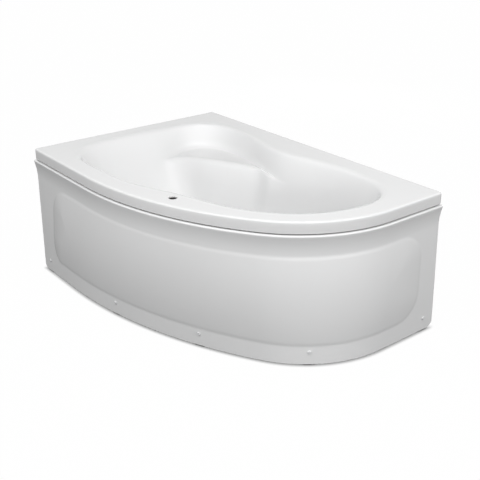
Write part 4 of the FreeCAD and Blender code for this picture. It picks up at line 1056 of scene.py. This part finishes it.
def world_light():
    """Weak even light, which the camera and mirrored rays see as white."""
    world = bpy.data.worlds.new("studio")
    bpy.context.scene.world = world
    world.use_nodes = True
    tree = world.node_tree
    tree.nodes.clear()
    rays = tree.nodes.new("ShaderNodeLightPath").outputs
    seen = tree.nodes.new("ShaderNodeMath")
    seen.operation = "MAXIMUM"
    tree.links.new(rays["Is Camera Ray"], seen.inputs[0])
    through = tree.nodes.new("ShaderNodeMath")
    through.operation = "MAXIMUM"
    tree.links.new(rays["Is Glossy Ray"], through.inputs[0])
    tree.links.new(rays["Is Transmission Ray"], through.inputs[1])
    tree.links.new(through.outputs[0], seen.inputs[1])
    soft = tree.nodes.new("ShaderNodeBackground")
    soft.inputs["Color"].default_value = (1, 1, 1, 1)
    soft.inputs["Strength"].default_value = WORLD_LIGHT
    white = tree.nodes.new("ShaderNodeBackground")
    white.inputs["Color"].default_value = (1, 1, 1, 1)
    white.inputs["Strength"].default_value = 1.0
    blend = tree.nodes.new("ShaderNodeMixShader")
    tree.links.new(seen.outputs[0], blend.inputs[0])
    tree.links.new(soft.outputs[0], blend.inputs[1])
    tree.links.new(white.outputs[0], blend.inputs[2])
    output = tree.nodes.new("ShaderNodeOutputWorld")
    tree.links.new(blend.outputs[0], output.inputs["Surface"])


def area_light(name, place, size, power, target=LAMP_TARGET, mirrored=False):
    data = bpy.data.lights.new(name, "AREA")
    data.shape = "DISK"
    data.size = size
    data.energy = power
    lamp = bpy.data.objects.new(name, data)
    lamp.location = place
    lamp.rotation_mode = "QUATERNION"
    lamp.rotation_quaternion = (Vector(target) - Vector(place)).to_track_quat("-Z", "Y")
    lamp.visible_glossy = mirrored
    bpy.context.scene.collection.objects.link(lamp)


def camera():
    data = bpy.data.cameras.new("camera")
    data.lens = CAMERA_LENS
    data.sensor_width = CAMERA_SENSOR
    data.clip_end = CAMERA_REACH
    eye = bpy.data.objects.new("camera", data)
    back = Vector((math.sin(CAMERA_AZIMUTH) * math.cos(CAMERA_ELEVATION),
                   -math.cos(CAMERA_AZIMUTH) * math.cos(CAMERA_ELEVATION), math.sin(CAMERA_ELEVATION)))
    eye.location = Vector(CAMERA_TARGET) + back * CAMERA_DISTANCE
    eye.rotation_mode = "QUATERNION"
    eye.rotation_quaternion = (-back).to_track_quat("-Z", "Y")
    bpy.context.scene.collection.objects.link(eye)
    bpy.context.scene.camera = eye


floor_plane()
world_light()
area_light("overhead", (0.9, -0.8, 3.9), size=2.4, power=18.0, target=(0.2, -0.2, 0.3), mirrored=True)
area_light("left_key", (0.25, -2.9, 3.75), size=2.8, power=65.0)
area_light("right_key", (2.9, 0.25, 3.75), size=2.8, power=75.0)
area_light("left_fill", (0.4, -4.4, 1.15), size=1.6, power=51.0)
area_light("right_fill", (4.4, 0.3, 1.1), size=1.6, power=46.0)
area_light("rear_fill", (-2.6, 3.2, 1.2), size=1.6, power=26.0)
camera()
bpy.context.scene.view_settings.view_transform = "Standard"
